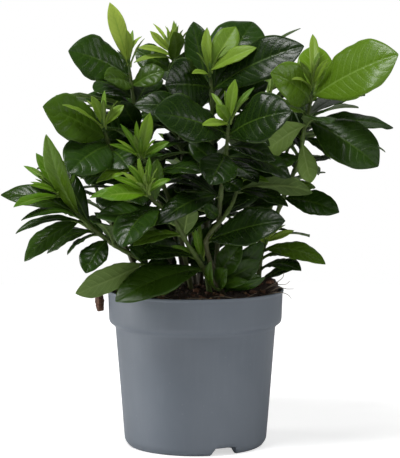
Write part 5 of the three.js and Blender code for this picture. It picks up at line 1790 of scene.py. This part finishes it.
class Graph:
    """A small hand on a node tree: it adds nodes, sets their inputs and joins them."""

    def __init__(self, tree: Tree) -> None:
        """Keeps the tree that the nodes go into."""
        self.tree = tree

    def node(
        self, kind: str, inputs: dict[str | int, object] | None = None, **settings: object
    ) -> Node:
        """Adds a node.

        Args:
            kind: the node's type.
            inputs: a value or another node's output for each named or numbered input.
            **settings: the node's own properties.

        Returns:
            The node.
        """
        node = self.tree.nodes.new(kind)
        for name, value in settings.items():
            setattr(node, name, value)
        for key, value in (inputs or {}).items():
            if isinstance(value, Socket):
                self.tree.links.new(value, node.inputs[key])
            else:
                node.inputs[key].default_value = value
        return node

    def group(self, tree: Tree, **inputs: object) -> Node:
        """Places a shared node group with its own values, each under its input's name in small letters."""
        named = {key.capitalize().replace("_", " "): value for key, value in inputs.items()}
        return self.node("ShaderNodeGroup", named, node_tree=tree)

    def math(self, operation: str, *values: Socket | float, clamp: bool = False) -> Socket:
        """The result of a sum on one or more values."""
        inputs = dict(enumerate(values))
        return self.node("ShaderNodeMath", inputs, operation=operation, use_clamp=clamp).outputs[0]

    def times(self, a: Socket | float, b: Socket | float) -> Socket:
        """The product of two values."""
        return self.math("MULTIPLY", a, b)

    def plus(self, a: Socket | float, b: Socket | float, share: float = 1.0, clamp: bool = False) -> Socket:
        """The first value and a share of the second, held between 0 and 1 if clamped."""
        return self.math("ADD", a, b if share == 1.0 else self.times(b, share), clamp=clamp)

    def mix(self, share: Socket | float, a: Socket | Colour, b: Socket | Colour) -> Socket:
        """A colour at a share of the way from a to b."""
        a, b = (value if isinstance(value, Socket) else (*value, 1.0) for value in (a, b))
        return self.node("ShaderNodeMix", {0: share, 6: a, 7: b}, data_type="RGBA").outputs[2]

    def ramp(self, value: Socket, start: float, end: float, low: float = 0.0, high: float = 1.0) -> Socket:
        """A smooth step from low at start to high at end."""
        inputs = {0: value, 1: start, 2: end, 3: low, 4: high}
        return self.node("ShaderNodeMapRange", inputs, interpolation_type="SMOOTHSTEP").outputs[0]

    def noise(
        self, place: Socket, scale: Socket | float, detail: float = 3.0, roughness: float = 0.55
    ) -> Socket:
        """Noise between 0 and 1 at a place."""
        inputs = {"Vector": place, "Scale": scale, "Detail": detail, "Roughness": roughness}
        return self.node("ShaderNodeTexNoise", inputs).outputs[0]

    def number(self, name: str) -> Socket:
        """One of the piece's named values."""
        return self.node("ShaderNodeAttribute", attribute_name=name).outputs["Fac"]

    def place(self) -> Socket:
        """Where a point is, in the row frame's metres."""
        return self.node("ShaderNodeTexCoord").outputs["Object"]

    def drawn_out(self, share: float) -> Socket:
        """The place with its height at a share, which draws a pattern out upright."""
        inputs = {"Vector": self.place(), "Scale": (1.0, 1.0, share)}
        return self.node("ShaderNodeMapping", inputs).outputs[0]

    def blade(self) -> Socket:
        """The piece's own coordinates along and across its blades."""
        return self.node("ShaderNodeUVMap", uv_map="blade").outputs[0]


def new_group(name: str, inputs: dict[str, str], outputs: Sequence[str]) -> tuple[Tree, Graph]:
    """An empty shared group.

    Args:
        name: the group's name.
        inputs: Vector or Float for each input's name.
        outputs: names of its outputs, all of them numbers.

    Returns:
        The group and a hand on it.
    """
    tree = bpy.data.node_groups.new(name, "ShaderNodeTree")
    for label, kind in inputs.items():
        tree.interface.new_socket(name=label, in_out="INPUT", socket_type="NodeSocket" + kind)
    for label in outputs:
        tree.interface.new_socket(name=label, in_out="OUTPUT", socket_type="NodeSocketFloat")
    return tree, Graph(tree)


def grain_group() -> Tree:
    """Fine grain: two noises, one four times finer, as a height and as a slow mottle.

    Returns:
        The group.
    """
    tree, graph = new_group("fine grain", {"Place": "Vector", "Scale": "Float"}, ["Height", "Mottle"])
    given = graph.node("NodeGroupInput").outputs
    place, scale = given["Place"], given["Scale"]
    coarse = graph.noise(place, scale, 4.0, 0.6)
    fine = graph.noise(place, graph.times(scale, 4.0), 2.0, 0.5)
    slow = graph.noise(place, graph.times(scale, 0.12), 3.0, 0.6)
    height = graph.plus(graph.times(coarse, 0.65), fine, 0.35)
    graph.node("NodeGroupOutput", {"Height": height, "Mottle": graph.ramp(slow, 0.32, 0.68)})
    return tree


def vein_group() -> Tree:
    """A leaf's veins: midrib by distance, side veins by where a place lies among them, net and margin.

    The side veins lie where the count of pairs up to a place, less their forward slant, is a whole number.

    Returns:
        The group.
    """
    names = {"Blade": "Vector", "Place": "Vector", "Pairs": "Float", "Off rib": "Float"}
    tree, graph = new_group("leaf veins", names, ["Midrib", "Side veins", "Net", "Edge"])
    given = graph.node("NodeGroupInput").outputs
    parts = graph.node("ShaderNodeSeparateXYZ", {0: given["Blade"]}).outputs
    along, place = parts[0], given["Place"]
    sideways = graph.math("MULTIPLY_ADD", parts[1], 2.0, -1.0)
    across = graph.math("ABSOLUTE", sideways)
    blade = graph.times(graph.math("SUBTRACT", along, FORM.stalk), 1 / (1 - FORM.stalk))
    slant = graph.plus(graph.times(across, 0.15), graph.math("POWER", across, 3.0), 0.07)
    count = graph.times(graph.math("SUBTRACT", blade, slant), given["Pairs"])
    count = graph.plus(count, graph.math("SIGN", sideways), 0.12)
    waver = graph.noise(place, 160.0, 2.0)
    count = graph.plus(count, graph.math("SUBTRACT", waver, 0.5), 0.22)
    apart = graph.math("ABSOLUTE", graph.math("SUBTRACT", graph.math("FRACT", count), 0.5))
    fade = graph.times(graph.ramp(across, 0.96, 0.6), graph.ramp(along, 0.98, 0.8))
    rib = graph.ramp(given["Off rib"], 0.85, 0.3)
    net = graph.node("ShaderNodeTexVoronoi", {"Vector": place, "Scale": 620.0}, feature="DISTANCE_TO_EDGE")
    outputs = {
        "Midrib": graph.times(rib, graph.ramp(along, 1.0, 0.55)),
        "Side veins": graph.times(graph.ramp(apart, 0.40, 0.49), fade),
        "Net": graph.ramp(net.outputs["Distance"], 0.0, 0.22),
        "Edge": graph.ramp(across, 0.93, 1.0),
    }
    graph.node("NodeGroupOutput", outputs)
    return tree


def speck_group() -> Tree:
    """Sparse specks: small cells of a cell pattern, kept where the cell's own draw is high.

    Returns:
        The group.
    """
    names = {"Place": "Vector", "Scale": "Float", "Rarity": "Float", "Size": "Float"}
    tree, graph = new_group("specks", names, ["Specks"])
    given = graph.node("NodeGroupInput").outputs
    inputs = {"Vector": given["Place"], "Scale": given["Scale"]}
    cells = graph.node("ShaderNodeTexVoronoi", inputs).outputs
    chance = graph.node("ShaderNodeSeparateColor", {0: cells["Color"]}).outputs[0]
    kept = graph.math("GREATER_THAN", chance, given["Rarity"])
    near = graph.math("LESS_THAN", cells["Distance"], given["Size"])
    graph.node("NodeGroupOutput", {"Specks": graph.times(kept, near)})
    return tree


# ---- finishes


@dataclass(frozen=True)
class LeafFinish:
    """One face of one kind of leaf. Colours are linear."""

    name: str
    deep: Colour
    light: Colour
    fresh: Colour  # the colour of a leaf whose tone is 1
    rib: Colour
    fresh_rib: Colour  # the veins' colour where the tone is 1
    rib_share: float
    vein_share: float
    roughness: float
    gloss: float  # the shader's specular level
    relief: float  # strength of the net in the bump


class LeafFinishes(Enum):
    """The four faces."""

    GROWN_UPPER = LeafFinish(
        "grown leaf, upper face", (0.0065, 0.021, 0.0016), (0.016, 0.048, 0.003), (0.118, 0.228, 0.008),
        (0.075, 0.145, 0.014), (0.30, 0.46, 0.10), 0.4, 0.17, 0.24, 0.22, 0.16,
    )
    GROWN_UNDER = LeafFinish(
        "grown leaf, under face", (0.045, 0.082, 0.020), (0.080, 0.130, 0.034), (0.170, 0.270, 0.050),
        (0.20, 0.28, 0.08), (0.26, 0.36, 0.11), 0.7, 0.4, 0.5, 0.25, 0.3,
    )
    YOUNG_UPPER = LeafFinish(
        "young leaf, upper face", (0.046, 0.130, 0.001), (0.090, 0.205, 0.002), (0.320, 0.430, 0.060),
        (0.24, 0.36, 0.06), (0.17, 0.30, 0.03), 0.45, 0.32, 0.36, 0.2, 0.12,
    )
    YOUNG_UNDER = LeafFinish(
        "young leaf, under face", (0.080, 0.160, 0.018), (0.120, 0.210, 0.028), (0.300, 0.400, 0.090),
        (0.28, 0.38, 0.10), (0.17, 0.30, 0.04), 0.5, 0.34, 0.45, 0.25, 0.2,
    )


@dataclass(frozen=True)
class EarthFinish:
    """A rough brown finish that varies from crumb to crumb. Colours are linear."""

    name: str
    deep: Colour
    light: Colour
    roughness: float
    grain: float  # scale of the grain, in waves a metre
    bump: float


class EarthFinishes(Enum):
    """The kinds of crumb, bark and root."""

    PEAT = EarthFinish("peat", (0.009, 0.005, 0.0035), (0.052, 0.028, 0.016), 0.92, 900.0, 0.9)
    BARK = EarthFinish("bark", (0.045, 0.018, 0.009), (0.190, 0.085, 0.040), 0.8, 500.0, 0.8)
    STRAW = EarthFinish("pale bark", (0.160, 0.085, 0.038), (0.330, 0.200, 0.100), 0.75, 600.0, 0.6)
    ROOT = EarthFinish("fine root", (0.130, 0.100, 0.065), (0.260, 0.210, 0.140), 0.7, 700.0, 0.3)


PAINTED_SHADE = (0.002, 0.009, 0.001)  # painted shade: the near-black green that leaves with a tone below 0 are darkened towards


class Finishes:
    """Every material of the plant, made once."""

    def __init__(self) -> None:
        """Builds the shared groups and then the materials."""
        self.grain, self.veins, self.specks = grain_group(), vein_group(), speck_group()
        leaves = [self.leaf(look.value) for look in LeafFinishes]
        self.grown_upper, self.grown_under, self.young_upper, self.young_under = leaves
        self.wood = self.stem("stem wood", (0.050, 0.040, 0.015), (0.085, 0.145, 0.018))
        self.green_stem = self.stem("young stem", (0.050, 0.110, 0.010), (0.080, 0.170, 0.012))
        self.earths = [self.earth(look.value) for look in EarthFinishes]
        self.bark = self.earths[1]
        self.plastic = self.pot_plastic()

    @staticmethod
    def begin(name: str) -> tuple[Material, Graph, Node]:
        """Starts a material with its Principled shader.

        Args:
            name: the material's name.

        Returns:
            The material, a hand on its tree and the shader.
        """
        material = bpy.data.materials.new(name)
        material.use_nodes = True
        shader = material.node_tree.nodes["Principled BSDF"]
        return material, Graph(material.node_tree), shader

    @staticmethod
    def finish(
        graph: Graph, shader: Node, colour: Socket, roughness: Socket, height: Socket,
        strength: float, distance: float,
    ) -> None:
        """Joins a colour, a roughness and a height to the shader.

        Args:
            graph: the material's graph.
            shader: its Principled shader.
            colour: base colour.
            roughness: roughness.
            height: bump height.
            strength: bump strength.
            distance: bump distance in metres.
        """
        bump = graph.node("ShaderNodeBump", {"Strength": strength, "Distance": distance, "Height": height})
        graph.tree.links.new(colour, shader.inputs["Base Color"])
        graph.tree.links.new(roughness, shader.inputs["Roughness"])
        graph.tree.links.new(bump.outputs[0], shader.inputs["Normal"])

    def leaf(self, look: LeafFinish) -> Material:
        """A leaf's face: mottled green by the leaf's tone, with a pale midrib, veins, net and margin. Below a
        tone of 0 the green is darkened towards a near-black green as painted shade.

        Args:
            look: its colours, shares and depths.

        Returns:
            The material.
        """
        material, graph, shader = self.begin(look.name)
        place, tone = graph.place(), graph.number("tone")
        grain = graph.group(self.grain, place=place, scale=420.0).outputs
        pairs, off_rib = graph.number("pairs"), graph.number("off_rib")
        veins = graph.group(self.veins, blade=graph.blade(), place=place, pairs=pairs, off_rib=off_rib)
        veins = veins.outputs
        mottle = graph.times(grain["Mottle"], 0.45)
        colour = graph.mix(graph.plus(mottle, graph.number("seed"), 0.55, clamp=True), look.deep, look.light)
        colour = graph.mix(graph.ramp(tone, 0.0, 1.0), colour, look.fresh)
        # painted shade: a tone below 0 darkens the leaf towards the near-black green
        painted_shade = graph.math("MULTIPLY", tone, -1.0, clamp=True)
        colour = graph.mix(graph.times(painted_shade, 0.75), colour, PAINTED_SHADE)
        rib = graph.mix(graph.ramp(tone, 0.2, 0.8), look.rib, look.fresh_rib)
        vein_share = graph.ramp(tone, 0.4, 1.0, look.vein_share, max(look.vein_share, 0.45))
        net = graph.math("SUBTRACT", 1.0, veins["Net"])
        for line, share in (
            (net, 0.10), (veins["Side veins"], vein_share), (veins["Edge"], 0.35),
            (veins["Midrib"], look.rib_share),
        ):
            colour = graph.mix(graph.times(line, share), colour, rib)
        rough = graph.plus(look.roughness, grain["Mottle"], 0.1)
        rough = graph.plus(rough, painted_shade, -0.02)
        height = graph.plus(graph.times(veins["Net"], look.relief), grain["Height"], 0.25)
        height = graph.plus(height, veins["Side veins"], -0.5)
        self.finish(graph, shader, colour, rough, height, 0.35, 0.0006)
        shader.inputs["Specular IOR Level"].default_value = look.gloss
        return material

    def stem(self, name: str, foot: Colour, tip: Colour) -> Material:
        """A stem's skin: from the foot's colour to the tip's, with fine cracks along it and pale specks.

        Args:
            name: the material's name.
            foot: the foot's colour.
            tip: the tip's colour.

        Returns:
            The material.
        """
        material, graph, shader = self.begin(name)
        place = graph.place()
        grain = graph.group(self.grain, place=graph.drawn_out(0.22), scale=900.0).outputs
        specks = graph.group(self.specks, place=place, scale=700.0, rarity=0.72, size=0.28).outputs[0]
        colour = graph.mix(graph.ramp(graph.number("share"), 0.15, 0.85), foot, tip)
        darker = tuple(0.45 * part for part in foot)
        colour = graph.mix(graph.times(grain["Mottle"], 0.6), colour, darker)
        colour = graph.mix(graph.times(specks, 0.35), colour, (0.26, 0.22, 0.13))
        rough = graph.plus(0.5, grain["Mottle"], 0.2)
        self.finish(graph, shader, colour, rough, grain["Height"], 0.5, 0.0005)
        return material

    def earth(self, look: EarthFinish) -> Material:
        """A crumb's finish: from deep to light by its own draw and by the grain, with pale specks.

        Args:
            look: its colours and grain.

        Returns:
            The material.
        """
        material, graph, shader = self.begin(look.name)
        place = graph.place()
        grain = graph.group(self.grain, place=place, scale=look.grain).outputs
        share = graph.times(graph.ramp(grain["Height"], 0.36, 0.66), 0.55)
        colour = graph.mix(graph.plus(share, graph.number("seed"), 0.45, clamp=True), look.deep, look.light)
        specks = graph.group(self.specks, place=place, scale=420.0, rarity=0.86, size=0.3).outputs[0]
        colour = graph.mix(graph.times(specks, 0.5), colour, (0.20, 0.12, 0.06))
        rough = graph.plus(look.roughness - 0.1, grain["Mottle"], 0.15)
        self.finish(graph, shader, colour, rough, grain["Height"], look.bump, 0.0012)
        return material

    def pot_plastic(self) -> Material:
        """Grey-blue moulded plastic: matt, with slow clouds, faint upright streaks and dust.

        Returns:
            The material.
        """
        material, graph, shader = self.begin("moulded plastic")
        place = graph.place()
        grain = graph.group(self.grain, place=place, scale=1100.0).outputs
        streaks = graph.noise(graph.drawn_out(0.09), 210.0, 3.0, 0.6)
        clouds = graph.ramp(graph.noise(place, 22.0, 3.0, 0.5), 0.3, 0.7)
        colour = graph.mix(clouds, (0.118, 0.140, 0.170), (0.138, 0.160, 0.190))
        colour = graph.mix(graph.ramp(streaks, 0.5, 0.8, 0.0, 0.25), colour, (0.165, 0.188, 0.218))
        dust = graph.group(self.specks, place=place, scale=330.0, rarity=0.975, size=0.2).outputs[0]
        colour = graph.mix(graph.times(dust, 0.1), colour, (0.33, 0.34, 0.35))
        height = graph.plus(graph.times(grain["Height"], 0.4), streaks, 0.5)
        self.finish(graph, shader, colour, graph.plus(0.46, clouds, 0.1), height, 0.12, 0.0005)
        return material


# ---- stage


@dataclass(frozen=True)
class Lamp:
    """A soft square lamp: where it stands, its edge in metres, its power and colour."""

    name: str
    place: Vec3
    edge: float
    watts: float
    colour: Colour = (1.0, 1.0, 1.0)


@dataclass(frozen=True)
class Studio:
    """A plain pale floor, soft lamps and the camera. Places are in metres."""

    middle: Vec3 = (0.0034, 0.0, 0.1591)
    camera_back: float = 1.4
    camera_height: float = 0.287
    lens: float = 150.5
    floor_radius: float = 1.0
    floor_colour: Colour = (0.90, 0.90, 0.90)
    floor_glow: float = 0.6  # for the camera only, so that the floor meets the backdrop
    air: float = 0.11
    backdrop: float = 1.0
    lamps: tuple[Lamp, ...] = (
        Lamp("key", (-0.48, -0.58, 1.57), 0.6, 23.0),
        Lamp("left", (-1.3, 0.1, 0.28), 0.5, 10.0),
        Lamp("right", (1.18, -0.16, 0.69), 0.45, 3.0),
        Lamp("front", (0.5, -1.35, 0.75), 1.0, 3.8),
        Lamp("back", (0.2, 0.95, 1.3), 0.9, 1.5),
    )

    def floor(self) -> None:
        """A pale disc, level with the pot's foot."""
        angle = np.linspace(0, 2 * math.pi, 96, endpoint=False)
        rim = self.floor_radius * np.stack([np.cos(angle), np.sin(angle), 0 * angle], axis=1)
        mesh = bpy.data.meshes.new("floor")
        mesh.from_pydata(rim.tolist(), [], [list(range(len(rim)))])
        floor = bpy.data.objects.new("floor", mesh)
        bpy.context.scene.collection.objects.link(floor)
        material, graph, shader = Finishes.begin("pale floor")
        cloud = graph.noise(graph.place(), 3.0, 2.0)
        colour = graph.mix(cloud, tuple(0.99 * part for part in self.floor_colour), self.floor_colour)
        graph.tree.links.new(colour, shader.inputs["Base Color"])
        shader.inputs["Roughness"].default_value = 0.9
        shader.inputs["Specular IOR Level"].default_value = 0.1
        seen = graph.node("ShaderNodeLightPath").outputs["Is Camera Ray"]
        graph.tree.links.new(graph.times(seen, self.floor_glow), shader.inputs["Emission Strength"])
        shader.inputs["Emission Color"].default_value = (1.0, 1.0, 1.0, 1.0)
        mesh.materials.append(material)

    def stand(self, name: str, data: bpy.types.ID, place: Vec3) -> Piece:
        """Stands a lamp or the camera at a place, aimed at the plant's middle.

        Args:
            name: the object's name.
            data: the lamp or the camera.
            place: where it stands.

        Returns:
            The object.
        """
        stand = bpy.data.objects.new(name, data)
        stand.location = place
        aim = Vector(self.middle) - Vector(place)
        stand.rotation_euler = aim.to_track_quat("-Z", "Y").to_euler()
        bpy.context.scene.collection.objects.link(stand)
        return stand

    def light(self) -> None:
        """White air all round and the soft lamps, each aimed at the plant's middle."""
        world = bpy.data.worlds.new("studio")
        world.use_nodes = True
        graph, background = Graph(world.node_tree), world.node_tree.nodes["Background"]
        background.inputs[0].default_value = (1.0, 1.0, 1.0, 1.0)
        seen = graph.node("ShaderNodeLightPath").outputs["Is Camera Ray"]
        strength = graph.math("MULTIPLY_ADD", seen, self.backdrop - self.air, self.air)
        graph.tree.links.new(strength, background.inputs[1])
        bpy.context.scene.world = world
        for lamp in self.lamps:
            data = bpy.data.lights.new(lamp.name, "AREA")
            data.shape, data.size, data.energy, data.color = "SQUARE", lamp.edge, lamp.watts, lamp.colour
            self.stand(lamp.name, data, lamp.place)

    def camera(self) -> None:
        """The camera, in front of the plant and a little above its middle."""
        data = bpy.data.cameras.new("camera")
        data.lens = self.lens
        place = (self.middle[0], -self.camera_back, self.camera_height)
        bpy.context.scene.camera = self.stand("camera", data, place)

    def build(self) -> None:
        """Sets the stage."""
        self.floor()
        self.light()
        self.camera()
        bpy.context.scene.view_settings.view_transform = "Standard"


# ---- the whole plant


def main() -> None:
    """Builds the stage, the pot with its soil, the stems and the shoots."""
    logging.basicConfig(level=logging.INFO, format="%(name)s: %(message)s")
    Studio().build()
    finishes = Finishes()
    Pot().build(finishes)
    Soil().build(finishes)
    BarkStrip().build(finishes)
    stems = {name: LeafyStem(name, plan) for name, plan in STEMS.items()}
    shoots = [YoungShoot.at_end(stem) for stem in stems.values()]
    shoots += [YoungShoot.at_side(name, plan, stems[plan.stem]) for name, plan in SIDE_SHOOTS.items()]
    crown = Crown()
    for growth in [*stems.values(), *shoots]:
        for shape in growth.shapes():
            crown.take(shape.points)
    for growth in [*shoots, *stems.values()]:
        growth.thicken(crown)
    for growth in [*stems.values(), *shoots]:
        growth.build(finishes)


if __name__ == "__main__":
    main()
